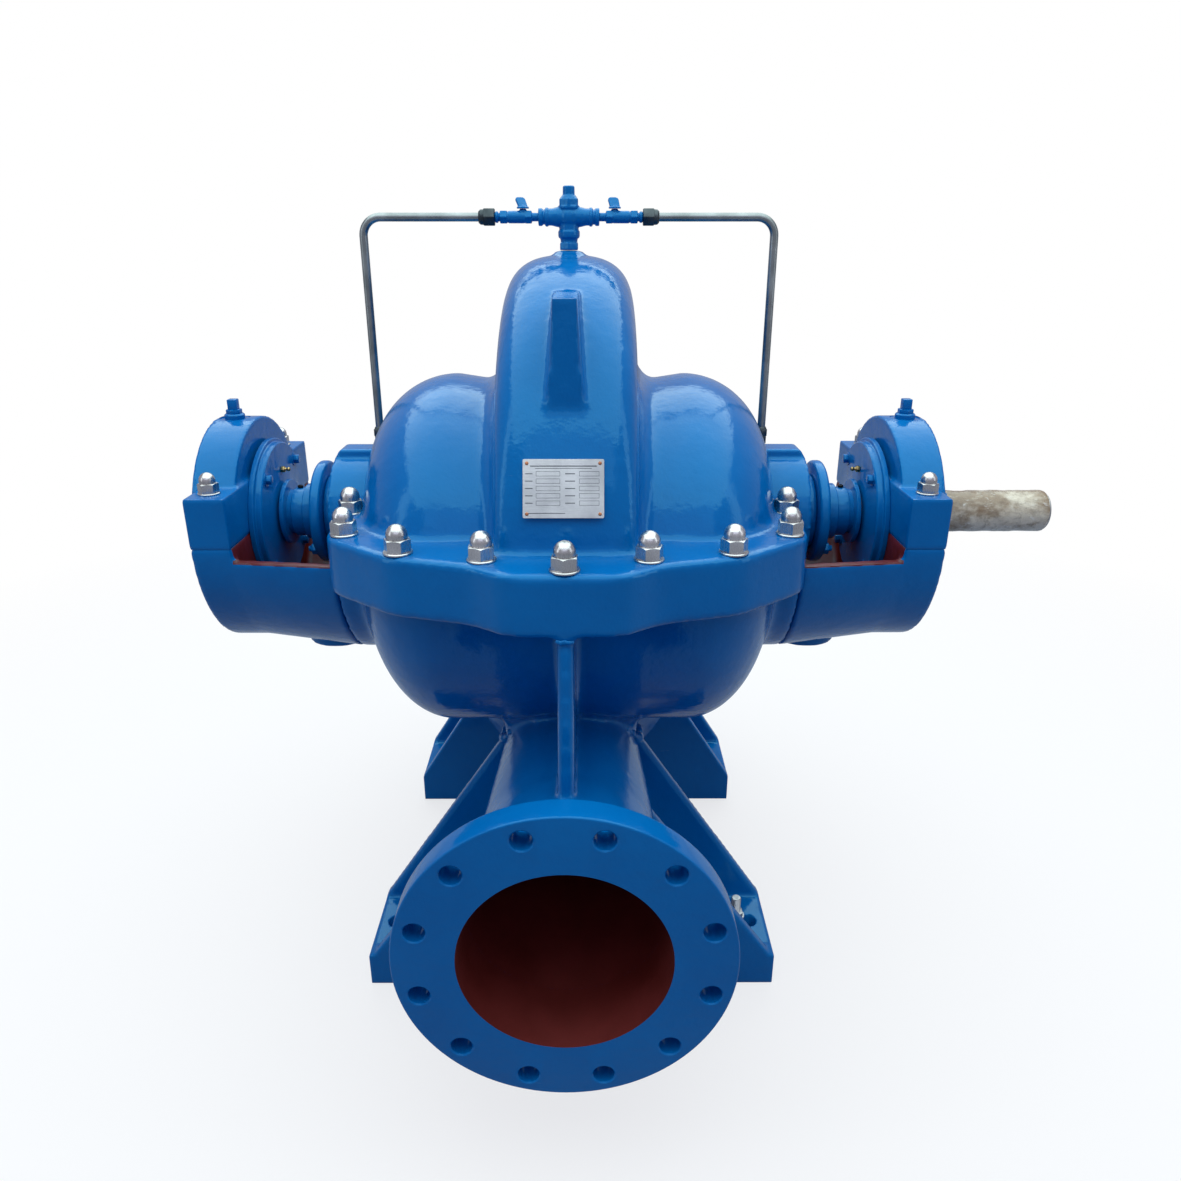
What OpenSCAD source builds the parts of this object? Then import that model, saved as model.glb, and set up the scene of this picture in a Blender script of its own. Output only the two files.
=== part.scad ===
// Split case pump: a horizontal double-suction pump with its casing split at the shaft axis.
// X runs along the shaft to the drive end, Y to the suction side and Z up.
// The origin is on the floor, at the centre of the four foundation bolt holes.

/* [Shaft line] */
// Height of the shaft axis above the floor
shaft_h = 738; // [725:1:760]
// Distance of the shaft axis in front of the middle of the foot holes
shaft_ahead = 111; // [100:1:120]
// Diameter of the shaft at its free drive end
shaft_end_d = 60; // [50:1:64]
// Diameter of the shaft inside the casing and the bearings
shaft_d = 66; // [65:1:70]
// Reach of the drive end from the middle of the pump
shaft_reach = 750; // [730:5:800]

/* [Nozzles] */
// Height of both nozzle axes above the floor
nozzle_h = 361; // [345:1:365]
// Reach of the discharge flange in front of the shaft axis
discharge_reach = 571; // [560:1:600]
// Bore of the discharge nozzle at its flange
discharge_bore_d = 254; // [245:1:258]
// Outer diameter of the discharge flange
discharge_flange_d = 405; // [400:1:410]
// Bolt circle of the discharge flange
discharge_pcd = 355; // [350:1:360]
// Reach of the suction flange behind the shaft axis
suction_reach = 600; // [580:1:640]
// Bore of the suction nozzle at its flange
suction_bore_d = 300; // [290:1:305]
// Outer diameter of the suction flange
suction_flange_d = 460; // [455:1:465]
// Bolt circle of the suction flange
suction_pcd = 410; // [405:1:414]
// Length of the discharge end piece behind its face
discharge_end_l = 91; // [80:1:110]
// Length of the suction end piece behind its face
suction_end_l = 100; // [85:1:120]
// Thickness of the nozzle flanges
nozzle_flange_t = 36; // [30:1:40]
// Holes in each nozzle flange
flange_holes = 12; // [8:4:16]
// Diameter of the flange holes
flange_hole_d = 26; // [22:1:28]

/* [Casing] */
// Radius at which the volute starts, at the front of the split
volute_start_r = 345; // [340:1:350]
// Radius at which the volute ends, under the shaft
volute_end_r = 470; // [462:1:474]
// Half width of the volute over the shaft
volute_half_w = 90; // [80:1:100]
// Distance of the suction dome crowns from the middle of the pump
dome_peak_x = 175; // [165:1:185]
// Distance of the suction dome sides from the middle of the pump
dome_side_x = 288; // [285:1:289]
// Radius of the suction domes above the shaft
dome_top_r = 211; // [200:1:220]
// Radius of the suction domes at the front of the split
dome_front_r = 293; // [285:1:300]
// Radius of the suction domes at the back of the split
dome_rear_r = 312; // [305:1:320]
// Radius of the belly under the split
belly_r = 326; // [318:1:334]
// Thickness of the upper split flange
split_up_t = 43; // [38:1:46]
// Thickness of the lower split flange
split_down_t = 37; // [33:1:42]

/* [Bearings] */
// Distance of the bearing housings' inner faces from the middle of the pump
bearing_in_x = 476; // [470:1:480]
// Distance of the bearing housings' outer faces from the middle of the pump
bearing_out_x = 538; // [530:1:545]
// Radius of the bearing caps
cap_r = 149; // [142:1:155]
// Height of the bearing cap feet above the shaft axis
cap_foot_h = 72; // [66:1:78]
// Outer radius of the bearing brackets
bracket_r = 193; // [185:1:200]
// Outer radius of the brackets where they meet the casing
bracket_root_r = 212; // [205:1:216]
// Wall of the bearing brackets
bracket_wall = 16; // [12:1:22]

/* [Feet] */
// Distance between the foot holes along the shaft
foot_hole_dx = 596; // [580:1:604]
// Distance between the foot holes across the shaft
foot_hole_dy = 526; // [510:1:540]
// Diameter of the foot holes
foot_hole_d = 28; // [24:1:32]
// Thickness of the foot pads
pad_t = 58; // [50:1:64]
// Length of the foot pads across the shaft
pad_l = 162; // [150:1:170]

/* [Flush line] */
// Outer diameter of the flush tubes
tube_d = 12; // [10:1:14]
// Height of the level tubes above the crown of the casing
tube_rise = 52; // [46:1:70]
// Distance of the upright tubes from the middle of the pump
tube_x = 298; // [294:1:302]

/* [Hidden] */
$fn = 72;

shaft_y = -shaft_ahead;
overrun = 5;
seat_gap = 0.3;
unit = 1;
half_turn = 180;
casing_blue = [0.02, 0.29, 0.62];
steel_grey = [0.62, 0.64, 0.66];
tube_grey = [0.30, 0.32, 0.34];
brass_gold = [0.75, 0.60, 0.25];

// Casing section shares
spiral_power = 1.15;
spiral_turn = 270;
turn_step = 6;
crown_h = 92;
crown_share = 0.55;
fillet_r = 34;
fillet_share = 0.4;
waist_share = 0.46;
volute_spread = 14;
crown_steps = 6;
crown_power_front = 3.4;
crown_power_top = 2.1;
crown_turn = 80;
fillet_steps = 3;
shoulder_steps = 6;
shaft_way_r = 46;
casing_bore_r = 40;
plate_way_r = 70;
tail_turn = 35;
fillet_rise = 58;
valley_dip = 7;
valley_share = 0.1;
scoop_turn = 110;
scoop_rise = 105;

// Lifting lugs
lug_w = 32;
lug_front = 290;
lug_back = 130;
lug_low = 200;
lug_high = 340;

// Split flange, as discs of X, Y and radius around its nuts, on the right of the middle
flange_side_x = 325;
root_in_x = 225;
flange_front_y = 414;
flange_blend = 30;
flange_discs = [
    [0, -394, 20], [64, -394, 20], [101, -354, 27], [207, -329, 22], [292, -256, 25], [302, -154, 23],
    [302, 170, 23], [290, 282, 27], [203, 355, 28], [112, 440, 34], [64, 474, 34], [0, 474, 34]
];

// Stuffing boxes and glands
stuffing_r = 93;
stuffing_out_x = 360;
collar_l = 17;
collar_r = 60;
pad_half = 23;
pad_out_x = 356;
pad_rise = 10.5;
pad_cut = 6;
gland_in_x = stuffing_out_x + collar_l;
gland_t = 16;
gland_r = 80;
stud_circle = 66;
stud_r = 5;
stud_l = 14;
stud_nut_t = 8;
stud_nut_d = 19;
stud_turn = 45;

// Nozzle necks
neck_join_y = discharge_reach - discharge_end_l;
neck_bend_y = 360;
rib_in_share = 0.82;
rib_back_share = 0.5;
rib_front_gap = 4;
rib_stop = 32;
rib_t = 20;
neck_root_r = 103;
neck_tail_y = 90;
neck_tail_r = 74;
branch_neck_r = 172;
branch_from_y = 150;
branch_to_y = suction_reach - suction_end_l;
branch_flare = 14;
branch_tail_y = 30;
branch_tail_r = 110;
branch_tail_lift = 50;
neck_bend_r = 124;
neck_join_r = 141;
neck_wall = 15;
hole_turn_share = 0.5;

// Feet
foot_reach_out = 31;
foot_reach_in = 102;
foot_outer_x = foot_hole_dx / 2 + foot_reach_out;
pad_in_x = foot_hole_dx / 2 - foot_reach_in;
web_t = 20;
front_web_top_x = 108;
front_web_rise = 24;
front_web_in_x = 85;
front_web_drop = 60;
rear_web_top_x = 136;
rear_web_in_x = 100;

// Nuts
nut_af = 30;
nut_hex_h = 16;
nut_dome_d = 27;
nut_h = 34;
washer_d = 37;
washer_t = 3;
cap_nut_scale = 0.82;

// Places, shapes and repeats

module on_shaft() translate([0, shaft_y, shaft_h]) children();

module along_x(from_x, to_x, r) {
    translate([from_x, 0, 0]) rotate([0, 90, 0]) cylinder(h = to_x - from_x, r = r);
}

module hex_along_x(from_x, l, d) {
    translate([from_x, 0, 0]) rotate([0, 90, 0]) cylinder(h = l, d = d, $fn = 6);
}

module on_side(side) {
    if (side > 0) children();
    if (side < 0) mirror([1, 0, 0]) children();
}

function flip_x(points) = [for (i = [len(points) - 1 : -1 : 0]) [-points[i].x, points[i].y]];

function smooth(t) = t <= 0 ? 0 : t >= 1 ? 1 : t * t * (3 - 2 * t);

function mix(a, b, t) = a + (b - a) * t;

// A closed solid through rings of equally many points
module loft(rings) {
    n = len(rings[0]);
    m = len(rings);
    polyhedron(
        points = [for (ring = rings) each ring],
        faces = concat(
            [[for (i = [0 : n - 1]) i]],
            [[for (i = [n - 1 : -1 : 0]) (m - 1) * n + i]],
            [for (k = [0 : m - 2], i = [0 : n - 1]) each [
                [k * n + (i + 1) % n, k * n + i, (k + 1) * n + i],
                [k * n + (i + 1) % n, (k + 1) * n + i, (k + 1) * n + (i + 1) % n]
            ]]
        )
    );
}

// Casing skin: the turn is the angle around the shaft, from the front over the top

function volute_r(turn) =
    volute_start_r
    + (volute_end_r - volute_start_r) * pow(min(turn, spiral_turn) / spiral_turn, spiral_power);

function scoop(past) =
    past < 0 || past > scoop_turn ? 0 : scoop_rise * pow(sin(past * half_turn / scoop_turn), 2);

function chamber_r(turn) =
    let(
        level = cos(turn) < 0 ? dome_rear_r : turn > half_turn ? belly_r : dome_front_r,
        upright = sin(turn) < 0 ? belly_r : dome_top_r
    )
    level * upright / sqrt(pow(upright * cos(turn), 2) + pow(level * sin(turn), 2))
    + scoop(turn - half_turn);

function crest_r(turn) =
    mix(volute_r(turn), chamber_r(turn) + unit, smooth((turn - spiral_turn) / tail_turn));

function volute_w(turn) = volute_half_w + volute_spread * min(turn, spiral_turn) / spiral_turn;

function section_half(turn) =
    let(
        chamber = chamber_r(turn),
        crest = crest_r(turn),
        rise = crest - chamber,
        crown = min(crown_h, crown_share * rise),
        fillet = min(fillet_r, fillet_share * rise),
        fillet_h = min(fillet_rise, fillet_share * rise),
        valley = chamber - min(valley_dip, valley_share * rise),
        w = volute_w(turn),
        power = 2 / mix(crown_power_front, crown_power_top, smooth(turn / crown_turn))
    )
    concat(
        [for (i = [1 : crown_steps]) let(a = 90 * i / crown_steps)
            [w * pow(sin(a), power), crest - crown + crown * pow(max(cos(a), 0), power)]],
        [for (i = [0 : fillet_steps]) let(a = 90 * i / fillet_steps)
            [w + fillet * (1 - cos(a)), valley + fillet_h * (1 - sin(a))]],
        [for (i = [0 : shoulder_steps]) let(a = 90 * i / shoulder_steps)
            [mix(dome_peak_x, dome_side_x, sin(a)), chamber * mix(waist_share, 1, cos(a))]],
        [[dome_side_x, casing_bore_r]]
    );

function section(turn) =
    concat([[0, casing_bore_r]], flip_x(section_half(turn)), [[0, crest_r(turn)]], section_half(turn));

function ring(turn) = [for (p = section(turn)) [p.x, -p.y * cos(turn), p.y * sin(turn)]];

module skin(from_turn, to_turn) {
    steps = ceil((to_turn - from_turn) / turn_step);
    loft([for (i = [0 : steps]) ring(mix(from_turn, to_turn, i / steps))]);
}

// Split flange

module flange_disc(d) translate([d.x, d.y]) circle(r = d.z, $fn = 32);

module flange_half() {
    for (i = [1 : len(flange_discs) - 1]) hull() {
        flange_disc(flange_discs[i - 1]);
        flange_disc(flange_discs[i]);
    }
    polygon([for (d = flange_discs) [d.x, d.y]]);
}

module split_plate(from_z, to_z) {
    difference() {
        translate([0, 0, from_z]) linear_extrude(to_z - from_z) {
            offset(r = -flange_blend, $fn = 64) offset(r = flange_blend, $fn = 64) {
                flange_half();
                mirror([1, 0]) flange_half();
            }
        }
        along_x(-flange_side_x - overrun, flange_side_x + overrun, plate_way_r);
        for (side = [1, -1])
            on_side(side) along_x(dome_side_x, flange_side_x + overrun, stuffing_r + seat_gap);
    }
}

module lifting_lug() {
    translate([-lug_w / 2, 0, 0]) rotate([90, 0, 90]) linear_extrude(lug_w) {
        polygon([[-lug_front, lug_low], [-lug_front, lug_high], [-lug_back, lug_high], [-lug_back, lug_low]]);
    }
}

module crown_boss() {
    translate([0, flush_y, crown_z - 2 * crown_boss_h]) cylinder(h = 3 * crown_boss_h, r = 3 * crown_boss_h);
}

module upper_casing() {
    color(casing_blue) on_shaft() {
        skin(0, half_turn);
        split_plate(0, split_up_t);
        lifting_lug();
        mirror([0, 1, 0]) lifting_lug();
        crown_boss();
    }
}

module bracket_root(side) {
    on_side(side) intersection() {
        difference() {
            along_x(root_in_x, flange_side_x, bracket_root_r);
            along_x(dome_side_x, flange_side_x + overrun, bracket_root_r - bracket_wall);
        }
        translate([0, -bracket_root_r - overrun, -bracket_root_r - overrun]) {
            cube([flange_side_x, 2 * (bracket_root_r + overrun), bracket_root_r + overrun - split_down_t / 2]);
        }
    }
}

// Discharge neck, as a turned shape along the nozzle axis

module along_y(from_y, to_y, r_from, r_to) {
    translate([0, from_y, 0]) rotate([-90, 0, 0]) cylinder(h = to_y - from_y, r1 = r_from, r2 = r_to);
}

module nozzle_axis() translate([0, 0, nozzle_h - shaft_h]) children();

module neck(less) {
    nozzle_axis() {
        along_y(-neck_bend_y, 0, neck_bend_r - less, neck_root_r - less);
        if (less == 0) along_y(0, neck_tail_y, neck_root_r, neck_tail_r);
        along_y(-neck_join_y, -neck_bend_y, neck_join_r - less, neck_bend_r - less);
    }
}

module neck_rib() {
    neck_z = nozzle_h - shaft_h;
    translate([-rib_t / 2, 0, 0]) rotate([90, 0, 90]) linear_extrude(rib_t) {
        polygon([
            [-belly_r * rib_in_share, 0],
            [-flange_front_y + rib_front_gap, -split_down_t],
            [-neck_join_y + rib_stop, neck_z + neck_bend_r],
            [-belly_r * rib_back_share, neck_z + neck_root_r]
        ]);
    }
}

module suction_branch() {
    nozzle_axis() {
        along_y(branch_from_y, branch_to_y, branch_neck_r + branch_flare, branch_neck_r);
        hull() {
            along_y(branch_from_y, branch_from_y + unit, branch_neck_r + branch_flare, branch_neck_r + branch_flare);
            translate([0, 0, branch_tail_lift]) along_y(branch_tail_y, branch_tail_y + unit, branch_tail_r, branch_tail_r);
        }
    }
}

module lower_casing() {
    color(casing_blue) on_shaft() difference() {
        union() {
            skin(half_turn, 2 * half_turn);
            split_plate(-split_down_t, 0);
            neck(0);
            neck_rib();
            suction_branch();
            bracket_root(1);
            bracket_root(-1);
        }
        along_x(-dome_side_x - overrun, dome_side_x + overrun, casing_bore_r);
        nozzle_axis() {
            along_y(-neck_join_y - overrun, -neck_bend_y, neck_join_r - neck_wall, neck_bend_r - neck_wall);
            along_y(-neck_bend_y - unit, -neck_root_r, neck_bend_r - neck_wall, neck_root_r - neck_wall);
            along_y(branch_to_y - suction_bore_d / 2, branch_to_y + overrun, suction_bore_d / 3, suction_bore_d / 2);
        }
    }
}

// Nozzle flanges

module nozzle_flange(from_y, flange_d, pcd) {
    to_y = from_y + nozzle_flange_t;
    difference() {
        along_y(from_y, to_y, flange_d / 2, flange_d / 2);
        for (i = [0 : flange_holes - 1]) {
            a = 360 * (i + hole_turn_share) / flange_holes;
            translate([pcd / 2 * cos(a), 0, pcd / 2 * sin(a)]) {
                along_y(from_y - overrun, to_y + overrun, flange_hole_d / 2, flange_hole_d / 2);
            }
        }
    }
}

module discharge_nozzle() {
    face_y = -discharge_reach;
    color(casing_blue) on_shaft() nozzle_axis() difference() {
        union() {
            nozzle_flange(face_y, discharge_flange_d, discharge_pcd);
            along_y(face_y + nozzle_flange_t, -neck_join_y, neck_join_r, neck_join_r);
        }
        along_y(face_y - overrun, -neck_join_y + overrun, discharge_bore_d / 2, discharge_bore_d / 2);
    }
}

module suction_nozzle() {
    color(casing_blue) on_shaft() nozzle_axis() difference() {
        union() {
            nozzle_flange(suction_reach - nozzle_flange_t, suction_flange_d, suction_pcd);
            along_y(branch_to_y, suction_reach - nozzle_flange_t, branch_neck_r, branch_neck_r);
        }
        along_y(branch_to_y - overrun, suction_reach + overrun, suction_bore_d / 2, suction_bore_d / 2);
    }
}

// Feet

module web(y, points) {
    translate([0, y, 0]) rotate([90, 0, 0]) linear_extrude(web_t, center = true) polygon(points);
}

module foot_body(side, hole_y, points) {
    on_side(side) difference() {
        union() {
            translate([pad_in_x, hole_y - pad_l / 2, 0]) cube([foot_outer_x - pad_in_x, pad_l, pad_t]);
            web(hole_y - (pad_l - web_t) / 2, points);
            web(hole_y + (pad_l - web_t) / 2, points);
        }
        translate([foot_hole_dx / 2, hole_y, -overrun]) cylinder(h = pad_t + 2 * overrun, d = foot_hole_d);
    }
}

module front_foot(side) {
    points = [
        [pad_in_x, 0], [foot_outer_x, 0], [foot_outer_x, pad_t],
        [front_web_top_x, nozzle_h + front_web_rise], [front_web_in_x, nozzle_h - front_web_drop]
    ];
    color(casing_blue) difference() {
        foot_body(side, -foot_hole_dy / 2, points);
        on_shaft() neck(0);
    }
}

module rear_foot(side) {
    points = [
        [rear_web_in_x, 0], [foot_outer_x, 0], [foot_outer_x, pad_t],
        [rear_web_top_x, nozzle_h], [rear_web_in_x, nozzle_h]
    ];
    color(casing_blue) difference() {
        foot_body(side, foot_hole_dy / 2, points);
        on_shaft() suction_branch();
    }
}

module front_left_foot() front_foot(-1);
module front_right_foot() front_foot(1);
module rear_left_foot() rear_foot(-1);
module rear_right_foot() rear_foot(1);

// Stuffing boxes and glands

module stuffing_box(side) {
    pad_top_z = stuffing_r + pad_rise;
    color(casing_blue) on_shaft() on_side(side) difference() {
        union() {
            along_x(dome_side_x, stuffing_out_x, stuffing_r);
            along_x(stuffing_out_x - unit, gland_in_x, collar_r);
            translate([0, pad_half, 0]) rotate([90, 0, 0]) linear_extrude(2 * pad_half) polygon([
                [dome_side_x, split_up_t], [dome_side_x, pad_top_z], [pad_out_x - pad_cut, pad_top_z],
                [pad_out_x, pad_top_z - pad_cut], [pad_out_x, split_up_t]
            ]);
        }
        along_x(dome_side_x - overrun, gland_in_x + overrun, shaft_way_r);
    }
}

module gland(side) {
    color(casing_blue) on_shaft() on_side(side) difference() {
        along_x(gland_in_x, gland_in_x + gland_t, gland_r);
        along_x(gland_in_x - overrun, gland_in_x + gland_t + overrun, shaft_way_r);
    }
}

module gland_studs() {
    face_x = gland_in_x + gland_t;
    color(steel_grey) on_shaft() for (side = [1, -1], a = [stud_turn : 2 * stud_turn : 7 * stud_turn]) {
        on_side(side) translate([0, stud_circle * cos(a), stud_circle * sin(a)]) {
            along_x(face_x, face_x + stud_l, stud_r);
            hex_along_x(face_x, stud_nut_t, stud_nut_d);
        }
    }
}

module left_stuffing_box() stuffing_box(-1);
module right_stuffing_box() stuffing_box(1);
module left_gland() gland(-1);
module right_gland() gland(1);

// Bearing brackets, bearings, caps and covers

foot_in_x = 470;
foot_out_x = 527;
trough_lip_z = -19;
housing_r = 100;
running_gap = 0.05;
ring_t = 8;
ring_rim = 15;
disc_t = 10;
disc_rim = 9;
cover_clearance = 2;
hub_in_x = bearing_out_x + 2 * ring_t;
hub_out_x = hub_in_x + disc_t;
hub_r = 58;
drain_r = 52;
drain_in = 58;
drain_drop = 2;

module half_below(depth, from_x, to_x, half_w, top_z) {
    translate([from_x, -half_w, -depth]) cube([to_x - from_x, 2 * half_w, depth + top_z]);
}

module bearing_bracket(side) {
    color(casing_blue) on_shaft() on_side(side) {
        intersection() {
            difference() {
                translate([flange_side_x, 0, 0]) rotate([0, 90, 0]) {
                    cylinder(h = foot_in_x - flange_side_x, r1 = bracket_root_r, r2 = bracket_r);
                }
                translate([flange_side_x - unit, 0, 0]) rotate([0, 90, 0]) {
                    cylinder(
                        h = foot_in_x - flange_side_x + 2 * unit,
                        r1 = bracket_root_r - bracket_wall, r2 = bracket_r - bracket_wall
                    );
                }
            }
            half_below(bracket_root_r, flange_side_x, foot_in_x, bracket_root_r, trough_lip_z);
        }
        difference() {
            intersection() {
                along_x(foot_in_x, foot_out_x, bracket_r);
                half_below(bracket_r, foot_in_x, foot_out_x, bracket_r, 0);
            }
            along_x(foot_in_x - overrun, foot_out_x + overrun, housing_r);
        }
        translate([flange_side_x + drain_in, 0, -bracket_root_r - drain_drop]) cylinder(h = bracket_wall, r = drain_r);
    }
}

module bearing(side) {
    color(steel_grey) on_shaft() on_side(side) difference() {
        along_x(bearing_in_x, bearing_out_x, housing_r);
        along_x(bearing_in_x - overrun, bearing_out_x + overrun, shaft_d / 2 + running_gap);
    }
}

module bearing_cap(side) {
    color(casing_blue) on_shaft() on_side(side) difference() {
        union() {
            intersection() {
                along_x(bearing_in_x, bearing_out_x, cap_r);
                translate([bearing_in_x, -cap_r, 0]) cube([bearing_out_x - bearing_in_x, 2 * cap_r, cap_r]);
            }
            translate([foot_in_x, -bracket_r, 0]) cube([foot_out_x - foot_in_x, 2 * bracket_r, cap_foot_h]);
        }
        along_x(foot_in_x - overrun, bearing_out_x + overrun, housing_r);
    }
}

module inner_cover(side) {
    color(casing_blue) on_shaft() on_side(side) difference() {
        union() {
            along_x(foot_in_x - ring_t, foot_in_x, housing_r + ring_rim);
            along_x(foot_in_x - ring_t - disc_t, foot_in_x - ring_t, housing_r + disc_rim);
            along_x(foot_in_x, bearing_in_x, housing_r);
        }
        along_x(foot_in_x - ring_t - disc_t - overrun, bearing_in_x + overrun, shaft_d / 2 + cover_clearance);
    }
}

module outer_cover(side) {
    color(casing_blue) on_shaft() on_side(side) difference() {
        union() {
            along_x(bearing_out_x, hub_in_x, housing_r + disc_rim);
            along_x(hub_in_x, hub_out_x, hub_r);
        }
        if (side > 0) along_x(bearing_out_x - overrun, hub_out_x + overrun, shaft_d / 2 + cover_clearance);
        if (side < 0) along_x(bearing_out_x - overrun, hub_in_x, shaft_d / 2 + cover_clearance);
    }
}

module left_bearing_bracket() bearing_bracket(-1);
module right_bearing_bracket() bearing_bracket(1);
module left_bearing() bearing(-1);
module right_bearing() bearing(1);
module left_bearing_cap() bearing_cap(-1);
module right_bearing_cap() bearing_cap(1);
module left_inner_cover() inner_cover(-1);
module right_inner_cover() inner_cover(1);
module left_outer_cover() outer_cover(-1);
module right_outer_cover() outer_cover(1);

// Nuts, plugs and the nameplate

nut_places = [
    [101, -357], [207, -330], [292, -255], [307, -154],
    [112, 440], [203, 355], [290, 282], [307, 170]
];
middle_nut_places = [[0, -395], [0, 483]];

module acorn_nut() {
    cylinder(h = washer_t, d = washer_d, $fn = 36);
    translate([0, 0, washer_t]) cylinder(h = nut_hex_h, d = nut_af / cos(30), $fn = 6);
    translate([0, 0, nut_hex_h]) cylinder(h = nut_h - nut_hex_h - nut_dome_d / 2 + washer_t, d = nut_dome_d, $fn = 36);
    translate([0, 0, nut_h + washer_t - nut_dome_d / 2]) sphere(d = nut_dome_d, $fn = 36);
}

module casing_nuts() {
    color(steel_grey) on_shaft() translate([0, 0, split_up_t]) {
        for (place = nut_places) {
            translate(place) acorn_nut();
            translate([-place.x, place.y]) acorn_nut();
        }
        for (place = middle_nut_places) translate(place) acorn_nut();
    }
}

module cap_nuts() {
    cap_nut_x = 501;
    cap_nut_y = 160;
    color(steel_grey) on_shaft() translate([0, 0, cap_foot_h]) {
        for (x = [-cap_nut_x, cap_nut_x], y = [-cap_nut_y, cap_nut_y]) {
            translate([x, y, 0]) scale(cap_nut_scale) acorn_nut();
        }
    }
}

module cap_plugs() {
    plug_x = 512;
    plug_rim_r = 15;
    plug_rim_h = 6;
    plug_hex_d = 24;
    plug_head_w = 14;
    plug_head_h = 15;
    color(casing_blue) on_shaft() for (x = [-plug_x, plug_x]) {
        translate([x, 0, cap_r + seat_gap]) {
            cylinder(h = plug_rim_h, r = plug_rim_r);
            cylinder(h = 2 * plug_rim_h, d = plug_hex_d, $fn = 6);
            translate([-plug_head_w / 2, -plug_head_w / 2, 2 * plug_rim_h]) {
                cube([plug_head_w, plug_head_w, plug_head_h]);
            }
        }
    }
}

plate_turn = 20.6;
plate_w = 104;
plate_h = 72;
plate_t = 1.2;
plate_stand = 0.75;

module nameplate() {
    color(steel_grey) on_shaft() rotate([-plate_turn, 0, 0]) {
        translate([-plate_w / 2, -crest_r(plate_turn) - plate_t - plate_stand, -plate_h / 2]) {
            cube([plate_w, plate_t, plate_h]);
        }
    }
}

// Flush line: cross fitting, ball valves, tubes and fittings

flush_y = 25;
crown_boss_h = 7;
crown_z = volute_r(90);
seat_z = crown_z + crown_boss_h;
tube_h = crown_z + tube_rise;
stem_r = 12;
stem_nut_h = 10;
stem_nut_d = 30;
cross_r = 13.5;
cross_half = 44;
cross_arm_r = 15.5;
cross_up = 15;
cross_down = 28;
top_hex_h = 10;
top_hex_d = 31;
top_cone_h = 6;
top_cone_r = 13;
top_head_r = 8.7;
top_head_h = 11;
valve_in_x = 53;
valve_r = 8.5;
valve_hex_t = 10;
valve_hex_d = 20;
valve_end_x = 89;
bonnet_r = 5;
bonnet_h = 2.5;
nipple_r = 6;
lever_x = 66;
lever_hub_r = 9;
lever_hub_t = 2.5;
lever_t = 3.5;
lever_l = 17;
lever_w = 16;
lever_lean = 55;
nut_in_x = 107;
nut_out_x = 130;
tube_nut_d = 27;
bend_r = 26;
fitting_z = stuffing_r + pad_rise;
fitting_h = 26;
fitting_hex_h = 12;
fitting_hex_d = 18;
fitting_nut_d = 20;

module on_flush() on_shaft() translate([0, flush_y, 0]) children();

module cross_fitting() {
    color(casing_blue) on_flush() {
        translate([0, 0, seat_z]) cylinder(h = tube_h - seat_z, r = stem_r);
        translate([0, 0, seat_z]) cylinder(h = stem_nut_h, d = stem_nut_d, $fn = 6);
        translate([0, 0, tube_h]) along_x(-cross_half, cross_half, cross_r);
        translate([0, 0, tube_h - cross_down]) cylinder(h = cross_down + cross_up, r = cross_arm_r);
        translate([0, 0, tube_h + cross_up]) {
            cylinder(h = top_hex_h, d = top_hex_d, $fn = 6);
            translate([0, 0, top_hex_h]) cylinder(h = top_cone_h, r1 = top_cone_r, r2 = top_head_r);
            translate([0, 0, top_hex_h + top_cone_h]) cylinder(h = top_head_h, r = top_head_r);
        }
    }
}

module valve_body(side) {
    color(casing_blue) on_flush() on_side(side) translate([0, 0, tube_h]) {
        along_x(cross_half, nut_in_x, nipple_r);
        hex_along_x(valve_in_x, valve_hex_t, valve_hex_d);
        along_x(valve_in_x + valve_hex_t, valve_end_x, valve_r);
        hex_along_x(valve_end_x, valve_hex_t, valve_hex_d);
        translate([lever_x, 0, 0]) cylinder(h = valve_r + bonnet_h, r = bonnet_r);
    }
}

module valve_lever(side) {
    color(casing_blue) on_flush() on_side(side)
    translate([lever_x, 0, tube_h + valve_r + bonnet_h + seat_gap]) {
        cylinder(h = lever_hub_t, r = lever_hub_r);
        translate([-lever_w / 2, 0, 0]) rotate([lever_lean, 0, 0]) cube([lever_w, lever_l, lever_t]);
    }
}

module tube_nut(side) {
    color(tube_grey) on_flush() on_side(side) translate([0, 0, tube_h]) {
        hex_along_x(nut_in_x, nut_out_x - nut_in_x, tube_nut_d);
    }
}

module flush_tube(side) {
    upright_z = fitting_z + fitting_h;
    color(tube_grey) on_flush() on_side(side) {
        translate([0, 0, tube_h]) along_x(nut_out_x, tube_x - bend_r, tube_d / 2);
        translate([tube_x - bend_r, 0, tube_h - bend_r]) rotate([-90, 0, 0]) {
            rotate_extrude(angle = -90) translate([bend_r, 0]) circle(d = tube_d);
        }
        translate([tube_x, 0, upright_z]) cylinder(h = tube_h - bend_r - upright_z, d = tube_d);
    }
}

module tube_fitting(side) {
    color(tube_grey) on_flush() on_side(side) translate([tube_x, 0, fitting_z]) {
        cylinder(h = fitting_hex_h, d = fitting_hex_d, $fn = 6);
        translate([0, 0, fitting_hex_h]) cylinder(h = fitting_h - fitting_hex_h, d = fitting_nut_d, $fn = 6);
    }
}

module left_valve_body() valve_body(-1);
module right_valve_body() valve_body(1);
module left_valve_lever() valve_lever(-1);
module right_valve_lever() valve_lever(1);
module left_tube_nut() tube_nut(-1);
module right_tube_nut() tube_nut(1);
module left_flush_tube() flush_tube(-1);
module right_flush_tube() flush_tube(1);
module left_tube_fitting() tube_fitting(-1);
module right_tube_fitting() tube_fitting(1);

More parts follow.
